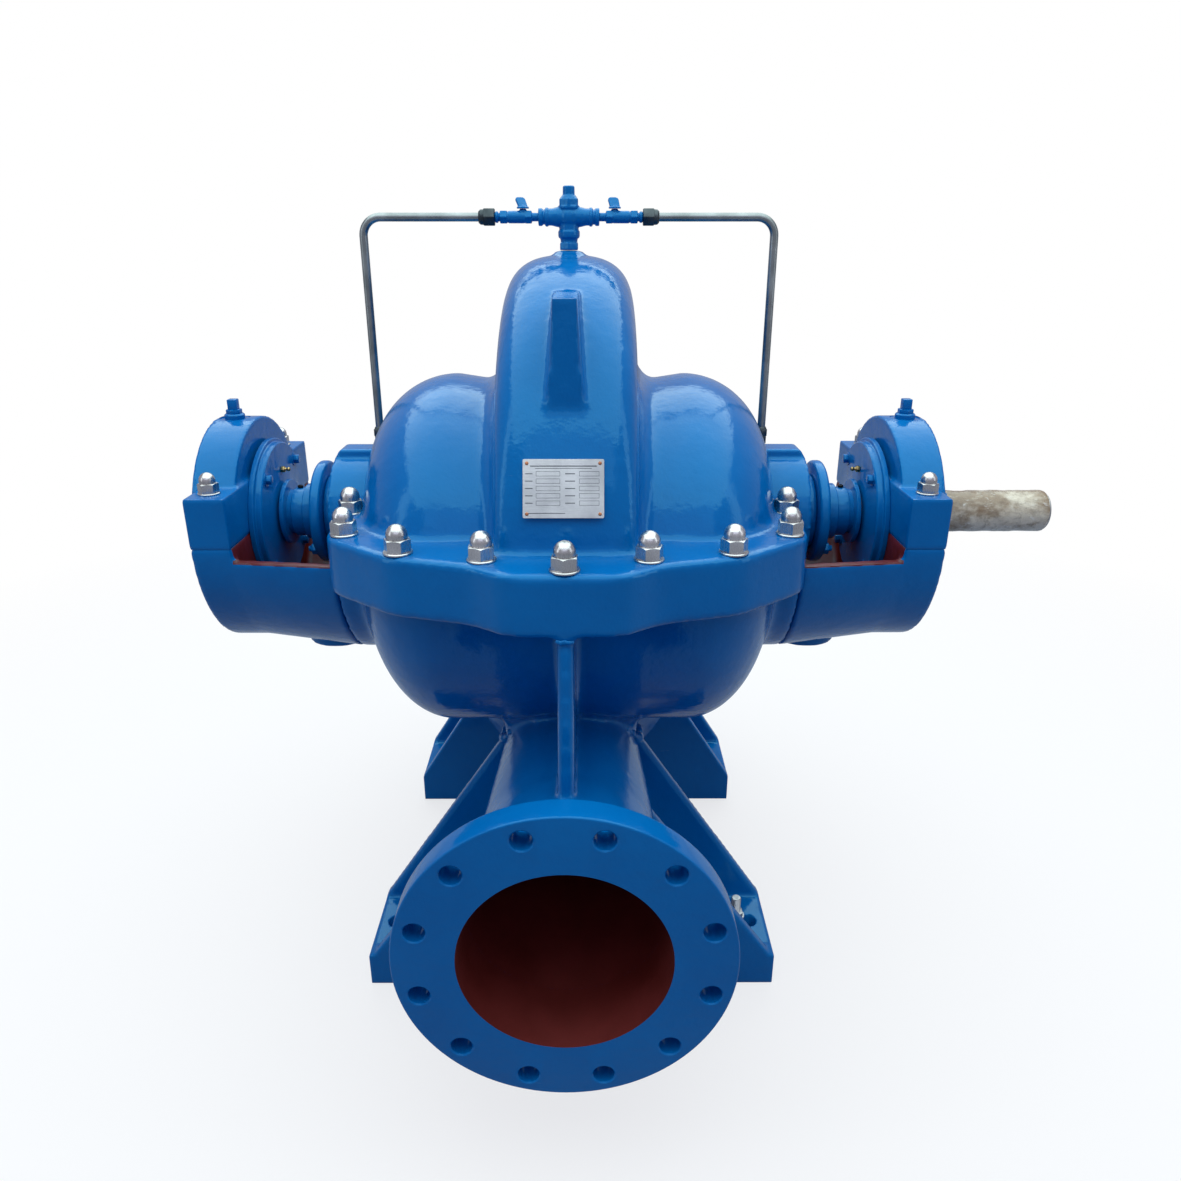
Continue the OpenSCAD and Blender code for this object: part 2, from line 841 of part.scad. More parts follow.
module foot_bolt() {
    bolt_x = 268;
    bolt_y = -256;
    bolt_washer_t = 2;
    bolt_washer_d = 24;
    bolt_head_h = 10;
    bolt_head_d = 19;
    bolt_d = 10;
    bolt_h = 38;
    color(steel_grey) translate([bolt_x, bolt_y, pad_t]) {
        cylinder(h = bolt_washer_t, d = bolt_washer_d);
        cylinder(h = bolt_head_h, d = bolt_head_d, $fn = 6);
        cylinder(h = bolt_h, d = bolt_d);
    }
}

// Turning parts

module shaft() {
    end_x = hub_out_x - disc_t + cover_clearance;
    color(steel_grey) on_shaft() {
        along_x(-bearing_out_x - disc_t, end_x, shaft_d / 2);
        along_x(end_x, shaft_reach, shaft_end_d / 2);
    }
}

module sleeve(side) {
    sleeve_r = 44;
    sleeve_wide_x = 414;
    sleeve_mid_r = 38.5;
    sleeve_mid_x = 433;
    sleeve_thin_r = 35;
    slinger_x = 440;
    slinger_rise = 7;
    color(casing_blue) on_shaft() on_side(side) difference() {
        union() {
            along_x(dome_side_x + overrun, sleeve_wide_x, sleeve_r);
            along_x(sleeve_wide_x, sleeve_mid_x, sleeve_mid_r);
            along_x(sleeve_mid_x, slinger_x, sleeve_thin_r);
            along_x(slinger_x, slinger_x + slinger_rise, sleeve_r + slinger_rise);
        }
        along_x(dome_side_x, slinger_x + slinger_rise + overrun, shaft_d / 2);
    }
}

module left_sleeve() sleeve(-1);
module right_sleeve() sleeve(1);

lower_casing();
upper_casing();
discharge_nozzle();
suction_nozzle();
front_left_foot();
front_right_foot();
rear_left_foot();
rear_right_foot();
left_stuffing_box();
right_stuffing_box();
left_gland();
right_gland();
gland_studs();
left_bearing_bracket();
right_bearing_bracket();
left_bearing();
right_bearing();
left_bearing_cap();
right_bearing_cap();
left_inner_cover();
right_inner_cover();
left_outer_cover();
right_outer_cover();
casing_nuts();
cap_nuts();
cap_plugs();
nameplate();
cross_fitting();
left_valve_body();
right_valve_body();
left_valve_lever();
right_valve_lever();
left_tube_nut();
right_tube_nut();
left_flush_tube();
right_flush_tube();
left_tube_fitting();
right_tube_fitting();
foot_bolt();
shaft();
left_sleeve();
right_sleeve();
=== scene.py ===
import math
import random

import bmesh
import bpy
from mathutils import Matrix, Vector, noise


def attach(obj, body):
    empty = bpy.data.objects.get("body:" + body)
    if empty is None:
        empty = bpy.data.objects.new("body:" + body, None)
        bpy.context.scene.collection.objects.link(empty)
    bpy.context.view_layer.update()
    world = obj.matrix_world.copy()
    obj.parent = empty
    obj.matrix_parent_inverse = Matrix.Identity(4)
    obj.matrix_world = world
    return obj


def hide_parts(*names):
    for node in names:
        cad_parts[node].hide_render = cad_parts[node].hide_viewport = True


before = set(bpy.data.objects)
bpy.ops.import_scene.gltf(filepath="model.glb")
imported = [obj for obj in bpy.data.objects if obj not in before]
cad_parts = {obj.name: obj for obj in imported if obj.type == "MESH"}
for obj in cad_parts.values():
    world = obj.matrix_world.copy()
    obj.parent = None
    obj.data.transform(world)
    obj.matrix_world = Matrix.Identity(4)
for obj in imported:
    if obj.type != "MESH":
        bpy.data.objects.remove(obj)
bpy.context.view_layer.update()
print("frame loaded")

# where the axes lie, in metres
shaftAxis = Vector((0, -0.111, 0.738))
nozzleDrop = -0.377
flushAxis = shaftAxis + Vector((0, 0.025, 0.4323))
random.seed(11)
scene = bpy.context.scene


# materials

def startMaterial(name):
    material = bpy.data.materials.new(name)
    material.use_nodes = True
    tree = material.node_tree
    shader = tree.nodes["Principled BSDF"]
    coords = tree.nodes.new("ShaderNodeTexCoord").outputs["Object"]
    return material, tree, shader, coords


def link(tree, source, target):
    tree.links.new(source, target)


def noiseOf(tree, coords, scale, detail=4, roughness=0.55, stretch=None):
    if stretch:
        mapping = tree.nodes.new("ShaderNodeMapping")
        mapping.inputs["Scale"].default_value = stretch
        link(tree, coords, mapping.inputs["Vector"])
        coords = mapping.outputs["Vector"]
    node = tree.nodes.new("ShaderNodeTexNoise")
    node.inputs["Scale"].default_value = scale
    node.inputs["Detail"].default_value = detail
    node.inputs["Roughness"].default_value = roughness
    link(tree, coords, node.inputs["Vector"])
    return node.outputs["Fac"]


def calc(tree, operation, first, second=None, clamp=False):
    node = tree.nodes.new("ShaderNodeMath")
    node.operation = operation
    node.use_clamp = clamp
    for socket, value in zip(node.inputs, (first, second)):
        if value is None:
            continue
        if isinstance(value, (int, float)):
            socket.default_value = value
        else:
            link(tree, value, socket)
    return node.outputs[0]


def spread(tree, source, fromLow, fromHigh, toLow, toHigh):
    node = tree.nodes.new("ShaderNodeMapRange")
    for name, value in (("From Min", fromLow), ("From Max", fromHigh), ("To Min", toLow), ("To Max", toHigh)):
        node.inputs[name].default_value = value
    link(tree, source, node.inputs["Value"])
    return node.outputs["Result"]


def blendColours(tree, factor, first, second):
    node = tree.nodes.new("ShaderNodeMix")
    node.data_type = "RGBA"
    link(tree, factor, node.inputs[0])
    for socket, value in ((node.inputs[6], first), (node.inputs[7], second)):
        if isinstance(value, tuple):
            socket.default_value = value
        else:
            link(tree, value, socket)
    return node.outputs[2]


def bumpFrom(tree, shader, heights):
    # heights: pairs of a height socket and its depth in metres
    last = None
    for height, depth in heights:
        node = tree.nodes.new("ShaderNodeBump")
        node.inputs["Distance"].default_value = depth
        link(tree, height, node.inputs["Height"])
        if last:
            link(tree, last, node.inputs["Normal"])
        last = node.outputs["Normal"]
    link(tree, last, shader.inputs["Normal"])


def axisParts(tree, coords):
    node = tree.nodes.new("ShaderNodeSeparateXYZ")
    link(tree, coords, node.inputs[0])
    return node.outputs["X"], node.outputs["Y"], node.outputs["Z"]


def distanceFrom(tree, first, second, centreFirst, centreSecond):
    a = calc(tree, "SUBTRACT", first, centreFirst)
    b = calc(tree, "SUBTRACT", second, centreSecond)
    return calc(tree, "SQRT", calc(tree, "ADD", calc(tree, "MULTIPLY", a, a), calc(tree, "MULTIPLY", b, b)))


def allOf(tree, tests):
    result = tests[0]
    for test in tests[1:]:
        result = calc(tree, "MULTIPLY", result, test)
    return result


paint = {
    "deep": (0.0005, 0.126, 0.40, 1),
    "light": (0.0008, 0.152, 0.45, 1),
    "dust": (0.10, 0.22, 0.38, 1),
    "primerDark": (0.075, 0.0055, 0.0035, 1),
    "primerLight": (0.19, 0.014, 0.010, 1),
    "gloss": 0.11,
}


def makeEnamel(name, primerMask=None):
    material, tree, shader, coords = startMaterial(name)
    broad = noiseOf(tree, coords, 5, 3)
    fine = noiseOf(tree, coords, 60, 5)
    peel = noiseOf(tree, coords, 320, 2)
    cast = noiseOf(tree, coords, 38, 3)
    colour = blendColours(tree, spread(tree, broad, 0.35, 0.65, 0, 1), paint["deep"], paint["light"])
    scuffs = noiseOf(tree, coords, 9, 8, 0.7, (1, 1, 6))
    colour = blendColours(tree, spread(tree, scuffs, 0.69, 0.76, 0, 0.35), colour, paint["dust"])
    gloss = spread(tree, fine, 0.3, 0.7, paint["gloss"] - 0.03, paint["gloss"] + 0.05)
    if primerMask:
        mask = primerMask(tree, coords)
        primer = blendColours(tree, noiseOf(tree, coords, 26, 6), paint["primerDark"], paint["primerLight"])
        colour = blendColours(tree, mask, colour, primer)
        gloss = calc(tree, "ADD", gloss, calc(tree, "MULTIPLY", mask, 0.3))
    link(tree, colour, shader.inputs["Base Color"])
    link(tree, gloss, shader.inputs["Roughness"])
    shader.inputs["Specular IOR Level"].default_value = 0.48
    shader.inputs["Specular Tint"].default_value = (0.3, 0.86, 1, 1)
    bumpFrom(tree, shader, [(cast, 0.0011), (peel, 0.00012)])
    return material


trough = {
    "wallStart": 0.2402, "wallTaper": 0.131, "insideX": 0.468, "lipLow": 0.7165, "lipHigh": 0.7215,
    "lipX": 0.4695, "lipFromX": 0.3, "faceX": 0.473, "faceFromX": 0.46, "faceRadius": 0.186,
}


def troughMask(tree, coords):
    # primer inside the trough, on its lip, and low on the inner face of the pedestal
    t = trough
    x, y, z = axisParts(tree, coords)
    side = calc(tree, "ABSOLUTE", x)
    fromShaft = distanceFrom(tree, y, z, shaftAxis.y, shaftAxis.z)
    wall = calc(tree, "SUBTRACT", t["wallStart"], calc(tree, "MULTIPLY", side, t["wallTaper"]))
    onInside = allOf(tree, [
        calc(tree, "LESS_THAN", fromShaft, wall), calc(tree, "LESS_THAN", side, t["insideX"]),
    ])
    onLip = allOf(tree, [
        calc(tree, "GREATER_THAN", z, t["lipLow"]), calc(tree, "LESS_THAN", z, t["lipHigh"]),
        calc(tree, "LESS_THAN", side, t["lipX"]), calc(tree, "GREATER_THAN", side, t["lipFromX"]),
    ])
    onFace = allOf(tree, [
        calc(tree, "LESS_THAN", z, shaftAxis.z - 0.001), calc(tree, "LESS_THAN", side, t["faceX"]),
        calc(tree, "LESS_THAN", fromShaft, t["faceRadius"]), calc(tree, "GREATER_THAN", side, t["faceFromX"]),
    ])
    return calc(tree, "MAXIMUM", calc(tree, "MAXIMUM", onInside, onLip), onFace)


def makePrimer(name):
    material, tree, shader, coords = startMaterial(name)
    mottle = noiseOf(tree, coords, 14, 6)
    grain = noiseOf(tree, coords, 240, 3)
    colour = blendColours(tree, mottle, paint["primerDark"], paint["primerLight"])
    link(tree, colour, shader.inputs["Base Color"])
    link(tree, spread(tree, mottle, 0.3, 0.7, 0.5, 0.68), shader.inputs["Roughness"])
    bumpFrom(tree, shader, [(mottle, 0.0012), (grain, 0.0002)])
    return material


metals = {
    "stainless": ((0.48, 0.46, 0.45, 1), (0.72, 0.69, 0.68, 1), 0.25),
    "zinc": ((0.38, 0.39, 0.40, 1), (0.62, 0.63, 0.62, 1), 0.36),
    "tube": ((0.19, 0.21, 0.21, 1), (0.38, 0.40, 0.40, 1), 0.34),
    "black": ((0.012, 0.012, 0.013, 1), (0.03, 0.03, 0.032, 1), 0.4),
    "plate": ((0.42, 0.43, 0.43, 1), (0.68, 0.69, 0.67, 1), 0.4),
    "darkFitting": ((0.045, 0.055, 0.062, 1), (0.12, 0.135, 0.14, 1), 0.42),
    "bearing": ((0.32, 0.33, 0.34, 1), (0.5, 0.5, 0.5, 1), 0.3),
    "shaft": ((0.3, 0.3, 0.3, 1), (0.5, 0.49, 0.47, 1), 0.33),
    "brass": ((0.20, 0.13, 0.05, 1), (0.46, 0.34, 0.16, 1), 0.26),
    "copper": ((0.36, 0.14, 0.07, 1), (0.55, 0.24, 0.13, 1), 0.35),
}


def makeMetal(name, kind, stretch=None, grainScale=90):
    dark, light, rough = metals[kind]
    material, tree, shader, coords = startMaterial(name)
    cloud = noiseOf(tree, coords, 22, 5)
    grain = noiseOf(tree, coords, grainScale, 4, 0.6, stretch)
    colour = blendColours(tree, spread(tree, cloud, 0.3, 0.7, 0, 1), dark, light)
    link(tree, colour, shader.inputs["Base Color"])
    shader.inputs["Metallic"].default_value = 1
    link(tree, spread(tree, grain, 0.25, 0.75, rough - 0.1, rough + 0.14), shader.inputs["Roughness"])
    bumpFrom(tree, shader, [(grain, 0.0001)])
    return material


enamel = makeEnamel("blueEnamel")
troughEnamel = makeEnamel("troughEnamel", troughMask)
primer = makePrimer("redPrimer")
stainless = makeMetal("brushedStainless", "stainless", (1, 1, 0.12), 420)
zinc = makeMetal("zincPlate", "zinc")
tubeSteel = makeMetal("tubeSteel", "tube", (0.3, 1, 0.3), 160)
darkFitting = makeMetal("darkFitting", "darkFitting")
bearingSteel = makeMetal("bearingSteel", "bearing")
shaftSteel = makeMetal("shaftSteel", "shaft", (4, 1, 1), 120)
brass = makeMetal("brass", "brass")
copper = makeMetal("copperRivet", "copper")
plateMetal = makeMetal("brushedPlate", "plate", (0.06, 1, 1), 900)
blackSteel = makeMetal("blackSteel", "black")
print("materials made")


# mesh helpers

def addBox(bm, low, high):
    low, high = Vector(low), Vector(high)
    size = high - low
    place = Matrix.Translation((low + high) / 2) @ Matrix.Diagonal((size.x, size.y, size.z, 1))
    return bmesh.ops.create_cube(bm, size=1, matrix=place)["verts"]


def addRound(bm, start, end, startRadius, endRadius, steps=64):
    # a cylinder or cone between two points
    start, end = Vector(start), Vector(end)
    along = end - start
    turn = Vector((0, 0, 1)).rotation_difference(along).to_matrix().to_4x4()
    place = Matrix.Translation((start + end) / 2) @ turn
    return bmesh.ops.create_cone(
        bm, cap_ends=True, segments=steps, radius1=startRadius, radius2=endRadius, depth=along.length,
        matrix=place,
    )["verts"]


def addSlab(bm, outline, push):
    # a flat outline, pushed out to a solid
    face = bm.faces.new([bm.verts.new(Vector(point)) for point in outline])
    raised = bmesh.ops.extrude_face_region(bm, geom=[face], use_keep_orig=True)["geom"]
    moved = [item for item in raised if isinstance(item, bmesh.types.BMVert)]
    bmesh.ops.translate(bm, vec=Vector(push), verts=moved)
    return list(face.verts) + moved


def addTurned(bm, profile, centre, axis, steps=64, closed=False):
    # profile: (along the axis, radius) points, spun a full turn
    centre, axis = Vector(centre), Vector(axis).normalized()
    side = axis.orthogonal().normalized()
    verts = [bm.verts.new(centre + axis * along + side * radius) for along, radius in profile]
    pairs = list(zip(verts, verts[1:] + (verts[:1] if closed else [])))
    edges = [bm.edges.new(pair) for pair in pairs]
    bmesh.ops.spin(
        bm, geom=verts + edges, cent=centre, axis=axis, angle=2 * math.pi, steps=steps, use_merge=True
    )


def addHull(bm, verts):
    made = bmesh.ops.convex_hull(bm, input=verts)
    inside = [item for item in made["geom_interior"] if isinstance(item, bmesh.types.BMVert)]
    bmesh.ops.delete(bm, geom=inside, context="VERTS")


def copyOf(item):
    bm = bmesh.new()
    bm.from_mesh(item.data)
    return bm


def settle(bm, merge=0.00002):
    bmesh.ops.remove_doubles(bm, verts=bm.verts, dist=merge)
    bmesh.ops.dissolve_degenerate(bm, edges=bm.edges, dist=merge / 2)
    bmesh.ops.recalc_face_normals(bm, faces=bm.faces)


def toSide(bm, side):
    if side < 0:
        bmesh.ops.scale(bm, vec=(-1, 1, 1), verts=bm.verts)
        bmesh.ops.reverse_faces(bm, faces=bm.faces)


def makeObject(name, bm, *looks):
    settle(bm)
    mesh = bpy.data.meshes.new(name)
    bm.to_mesh(mesh)
    bm.free()
    for look in looks:
        mesh.materials.append(look)
    item = bpy.data.objects.new(name, mesh)
    scene.collection.objects.link(item)
    return item


def applyAll(item):
    graph = bpy.context.evaluated_depsgraph_get()
    graph.update()
    old = item.data
    fresh = bpy.data.meshes.new_from_object(item.evaluated_get(graph))
    item.modifiers.clear()
    item.data = fresh
    fresh.name = item.name
    bpy.data.meshes.remove(old)


def castOver(item, voxel, rounds):
    # one closed skin over all the crossing solids, with the soft edges of a casting
    remesh = item.modifiers.new("oneSkin", "REMESH")
    remesh.mode = "VOXEL"
    remesh.voxel_size = voxel
    remesh.use_smooth_shade = True
    smooth = item.modifiers.new("softEdges", "SMOOTH")
    smooth.factor = 0.5
    smooth.iterations = rounds
    applyAll(item)


def carve(item, bm, look=None, operation="DIFFERENCE"):
    cutter = makeObject("cutter", bm, *([look] if look else []))
    boolean = item.modifiers.new("carve", "BOOLEAN")
    boolean.object = cutter
    boolean.operation = operation
    boolean.solver = "EXACT"
    boolean.material_mode = "TRANSFER" if look else "INDEX"
    applyAll(item)
    bpy.data.objects.remove(cutter)


def softenEdges(item, width, segments=2, angle=0.6):
    bevel = item.modifiers.new("edges", "BEVEL")
    bevel.width = width
    bevel.segments = segments
    bevel.limit_method = "ANGLE"
    bevel.angle_limit = angle
    bevel.harden_normals = True


def seat(item, body, slotName, *nodes, origin=shaftAxis, crease=0.55):
    # puts the finished mesh in its place, hangs it on its body and hides the nodes it stands for
    item.data.transform(Matrix.Translation(origin))
    item.data.shade_smooth()
    item.data.set_sharp_from_angle(angle=crease)
    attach(item, body)
    if nodes:
        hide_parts(*nodes)
    return item


# casing

casing = {
    "startRadius": 0.345, "endRadius": 0.470, "halfWidth": 0.090, "spread": 0.014,
    "peakX": 0.175, "sideX": 0.293, "bellySideX": 0.298, "topRadius": 0.211, "frontRadius": 0.293,
    "rearRadius": 0.312, "bellyRadius": 0.326, "boreRadius": 0.040,
    "crown": 0.092, "crownShare": 0.55, "fillet": 0.034, "filletRise": 0.058, "filletShare": 0.4,
    "dip": 0.007, "dipShare": 0.1, "waistShare": 0.46, "seamOver": 0.012,
    "upThick": 0.043, "downThick": 0.037, "voxel": 0.005,
}


def mix(first, second, share):
    return first + (second - first) * share


def ease(share):
    share = min(max(share, 0), 1)
    return share * share * (3 - 2 * share)


def voluteRadius(turn):
    return mix(casing["startRadius"], casing["endRadius"], (min(turn, 270) / 270) ** 1.15)


def chamberRadius(turn):
    level = casing["frontRadius"]
    if math.cos(math.radians(turn)) < 0:
        level = casing["rearRadius"]
    elif turn > 180:
        level = casing["bellyRadius"]
    upright = casing["bellyRadius"] if turn > 180 else casing["topRadius"]
    radians = math.radians(turn)
    radius = level * upright / math.hypot(upright * math.cos(radians), level * math.sin(radians))
    past = turn - 180
    if 0 < past < 110:
        radius += 0.105 * math.sin(math.radians(past * 180 / 110)) ** 2
    return radius


def crestRadius(turn):
    return mix(voluteRadius(turn), chamberRadius(turn) + 0.001, ease((turn - 270) / 35))


def skinSection(turn):
    # half of the casing's section at one turn around the shaft, as (x, radius)
    chamber, crest = chamberRadius(turn), crestRadius(turn)
    rise = crest - chamber
    crown = min(casing["crown"], casing["crownShare"] * rise)
    fillet = min(casing["fillet"], casing["filletShare"] * rise)
    filletHigh = min(casing["filletRise"], casing["filletShare"] * rise)
    valley = chamber - min(casing["dip"], casing["dipShare"] * rise)
    width = casing["halfWidth"] + casing["spread"] * min(turn, 270) / 270
    power = 2 / mix(3.4, 2.8, ease(turn / 80))
    half = []
    for step in range(1, 17):
        a = math.radians(90 * step / 16)
        half.append((width * math.sin(a) ** power, crest - crown + crown * max(math.cos(a), 0) ** power))
    for step in range(9):
        a = math.radians(90 * step / 8)
        half.append((width + fillet * (1 - math.cos(a)), valley + filletHigh * (1 - math.sin(a))))
    side = mix(casing["sideX"], casing["bellySideX"], ease((turn - 180) / 15) * ease((360 - turn) / 15))
    for step in range(21):
        a = math.radians(90 * step / 20)
        half.append((
            mix(casing["peakX"], side, math.sin(a)), chamber * mix(casing["waistShare"], 1, math.cos(a)),
        ))
    half.append((side, casing["boreRadius"]))
    return (
        [(0, casing["boreRadius"])] + [(-x, r) for x, r in reversed(half)]
        + [(0, crest)] + half
    )


def onSkin(turn, point):
    a = math.radians(turn)
    return Vector((point[0], -point[1] * math.cos(a), point[1] * math.sin(a)))


def addSkin(bm, fromTurn, toTurn, steps=90):
    station = bm.verts.layers.int.new("station")
    verts = [bm.verts.new(onSkin(fromTurn, point)) for point in skinSection(fromTurn)]
    for index, vert in enumerate(verts):
        vert[station] = index + 1
    face = bm.faces.new(verts)
    bmesh.ops.spin(
        bm, geom=[face] + list(face.edges) + verts, cent=(0, 0, 0), axis=(-1, 0, 0),
        angle=math.radians(toTurn - fromTurn), steps=steps,
    )
    sections = {}
    for vert in bm.verts:
        turn = math.degrees(math.atan2(vert.co.z, -vert.co.y)) % 360
        if turn < fromTurn - 1:
            turn += 360
        if turn > toTurn + 1:
            turn -= 360
        turn = round(turn, 3)
        if turn not in sections:
            sections[turn] = skinSection(turn)
        vert.co = onSkin(turn, sections[turn][vert[station] - 1])


def addSeam(bm, direction):
    # carries both cut faces of a half past the split, so that it can be cut level afterwards
    for turn in (0, 180):
        outline = [onSkin(turn, point) for point in skinSection(turn if direction < 0 or turn else 360)]
        addSlab(bm, outline, (0, 0, direction * casing["seamOver"]))


def cutLevel(item, low, high):
    cutter = bmesh.new()
    addBox(cutter, (-0.5, -0.6, low), (0.5, 0.6, high))
    carve(item, cutter)


def makeSplitPlate():
    # takes the flange outline from the solid, just under its top, and pushes it out to a tall block
    level = shaftAxis.z + casing["upThick"] - 0.0006
    bm = copyOf(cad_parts["upper_casing"])
    bmesh.ops.remove_doubles(bm, verts=bm.verts, dist=0.00002)
    bmesh.ops.bisect_plane(
        bm, geom=list(bm.verts) + list(bm.edges) + list(bm.faces), dist=0.000001,
        plane_co=(0, 0, level), plane_no=(0, 0, 1), clear_inner=True, clear_outer=True,
    )
    bmesh.ops.remove_doubles(bm, verts=bm.verts, dist=0.0003)
    low, high = -casing["downThick"] - 0.06, casing["upThick"] + 0.06
    face = bmesh.ops.contextual_create(bm, geom=list(bm.edges))["faces"][0]
    bmesh.ops.translate(bm, verts=bm.verts, vec=Vector((0, 0, low + shaftAxis.z - level)) - shaftAxis)
    raised = bmesh.ops.extrude_face_region(bm, geom=[face], use_keep_orig=True)["geom"]
    moved = [item for item in raised if isinstance(item, bmesh.types.BMVert)]
    bmesh.ops.translate(bm, vec=(0, 0, high - low), verts=moved)
    block = makeObject("splitBlock", bm, enamel)
    castOver(block, 0.007, 48)
    return block


def addSplitPlate(bm, fromZ, toZ):
    plate = makeObject("splitPlate", copyOf(splitBlock), enamel)
    for low, high in ((-0.2, fromZ), (toZ, 0.2)):
        cutter = bmesh.new()
        addBox(cutter, (-0.6, -0.7, low), (0.6, 0.7, high))
        carve(plate, cutter)
    bm.from_mesh(plate.data)
    bpy.data.objects.remove(plate)


lug = {"front": 0.290, "back": 0.130, "low": 0.200, "high": 0.340, "footHalf": 0.0235, "topHalf": 0.0150}


def addLug(bm, direction):
    outline = [
        (0, direction * y, z) for y, z in (
            (-lug["front"], lug["low"]), (-lug["front"], lug["high"]),
            (-lug["back"], lug["high"]), (-lug["back"], lug["low"]),
        )
    ]
    for side in (1, -1):
        verts = addSlab(bm, outline, (side * lug["topHalf"], 0, 0))
        for vert in verts:
            if abs(vert.co.x) > 0.001 and vert.co.z < lug["low"] + 0.01:
                vert.co.x = side * lug["footHalf"]


def roundAlongY(bm, fromY, toY, fromRadius, toRadius, z=nozzleDrop):
    addRound(bm, (0, fromY, z), (0, toY, z), fromRadius, toRadius)


splitBlock = makeSplitPlate()


def carveStuffingSeats(item):
    for start, end, radius in ((-0.4, 0.4, 0.040), (0.2885, 0.35, 0.0935), (-0.35, -0.2885, 0.0935)):
        cutter = bmesh.new()
        addRound(cutter, (start, 0, 0), (end, 0, 0), radius, radius, 72)
        carve(item, cutter, enamel)


def buildUpperCasing():
    bm = bmesh.new()
    addSkin(bm, 0, 180)
    addSeam(bm, -1)
    addSplitPlate(bm, -casing["seamOver"], casing["upThick"])
    addLug(bm, 1)
    addLug(bm, -1)
    top = voluteRadius(90)
    addRound(bm, (0, 0.025, top - 0.014), (0, 0.025, top + 0.007), 0.021, 0.021)
    upper = makeObject("upperCasingSkin", bm, enamel)
    castOver(upper, casing["voxel"], 5)
    cutLevel(upper, -0.1, 0)
    carveStuffingSeats(upper)
    return seat(upper, "pump", "blue_enamel", "upper_casing", crease=0.9)


dischargeNeck = {
    "endY": -0.488, "collarY": -0.360, "noseY": 0.090, "collar": 0.1415, "bend": 0.124, "root": 0.103,
    "nose": 0.074, "cutY": -0.480,
}
suctionNeck = {
    "fromY": 0.150, "endY": 0.508, "root": 0.186, "end": 0.172, "noseY": 0.030, "nose": 0.110, "noseUp": 0.05,
    "cutY": 0.500,
}
# the two water passages: (y, radius)
passages = (
    [
        (-0.490, 0), (-0.490, 0.127), (-0.476, 0.127), (-0.360, 0.109), (-0.112, 0.0885), (-0.103, 0.075),
        (-0.103, 0),
    ],
    [(0.350, 0), (0.350, 0.088), (0.362, 0.104), (0.496, 0.150), (0.505, 0.150), (0.505, 0)],
)
rib = {"half": 0.01, "topY": -0.410, "topZ": -0.037, "footY": -0.448, "footUp": 0.130}
root = {"fromX": 0.225, "toX": 0.325, "radius": 0.212, "hollowX": 0.288, "hollow": 0.196, "lip": -0.0185}


def buildLowerCasing():
    bm = bmesh.new()
    addSkin(bm, 180, 360)
    addSeam(bm, 1)
    addSplitPlate(bm, -casing["downThick"], casing["seamOver"])
    d, u = dischargeNeck, suctionNeck
    roundAlongY(bm, d["collarY"], 0, d["bend"], d["root"])
    roundAlongY(bm, 0, d["noseY"], d["root"], d["nose"])
    roundAlongY(bm, d["endY"], d["collarY"], d["collar"], d["bend"])
    roundAlongY(bm, u["fromY"], u["endY"], u["root"], u["end"])
    # the suction neck runs out into the belly
    tail = []
    for y, z, radius in (
        (u["fromY"], nozzleDrop, u["root"]), (u["noseY"], nozzleDrop + u["noseUp"], u["nose"]),
    ):
        tail += addRound(bm, (0, y, z), (0, y + 0.001, z), radius, radius)
    addHull(bm, tail)
    ribOutline = [
        (-rib["half"], -0.266, -0.01), (-rib["half"], rib["topY"], rib["topZ"]),
        (-rib["half"], rib["footY"], nozzleDrop + rib["footUp"]), (-rib["half"], -0.163, nozzleDrop + 0.100),
    ]
    addSlab(bm, ribOutline, (2 * rib["half"], 0, 0))
    lower = makeObject("lowerCasingSkin", bm, enamel)
    roots = bmesh.new()
    for side in (1, -1):
        start, end = (side * root["fromX"], 0, 0), (side * root["toX"], 0, 0)
        addRound(roots, start, end, root["radius"], root["radius"], 96)
    rootPair = makeObject("bracketRoots", roots, enamel)
    cutLevel(rootPair, root["lip"], 0.3)
    for side in (1, -1):
        hollow = bmesh.new()
        start, end = (side * root["hollowX"], 0, 0), (side * 0.35, 0, 0)
        addRound(hollow, start, end, root["hollow"], root["hollow"], 96)
        carve(rootPair, hollow)
    merged = bmesh.new()
    merged.from_mesh(lower.data)
    merged.from_mesh(rootPair.data)
    bpy.data.objects.remove(lower)
    bpy.data.objects.remove(rootPair)
    lower = makeObject("lowerCasingSkin", merged, enamel)
    castOver(lower, casing["voxel"] + 0.0005, 5)
    cutLevel(lower, 0, 0.1)
    for fromY, toY in ((-0.6, d["cutY"]), (u["cutY"], 0.6)):
        end = bmesh.new()
        addBox(end, (-0.3, fromY, nozzleDrop - 0.25), (0.3, toY, nozzleDrop + 0.25))
        carve(lower, end)
    for profile in passages:
        bore = bmesh.new()
        addTurned(bore, profile, (0, 0, nozzleDrop), (0, 1, 0), 96)
        carve(lower, bore, primer)
    carveStuffingSeats(lower)
    return seat(lower, "pump", "blue_enamel", "lower_casing", crease=0.9)


beads = {"size": 0.0046, "jitter": 0.0014, "out": 0.0034, "step": 2, "reach": 84, "voxel": 0.0016}


def skinRadiusAt(turn, x):
    # outer radius of the casing skin at one turn and one distance from the middle
    section = skinSection(turn)
    points = section[len(section) // 2:]
    for inner, outer in zip(points, points[1:]):
        if inner[0] <= abs(x) <= outer[0]:
            return mix(inner[1], outer[1], (abs(x) - inner[0]) / max(outer[0] - inner[0], 0.00001))
    return 0


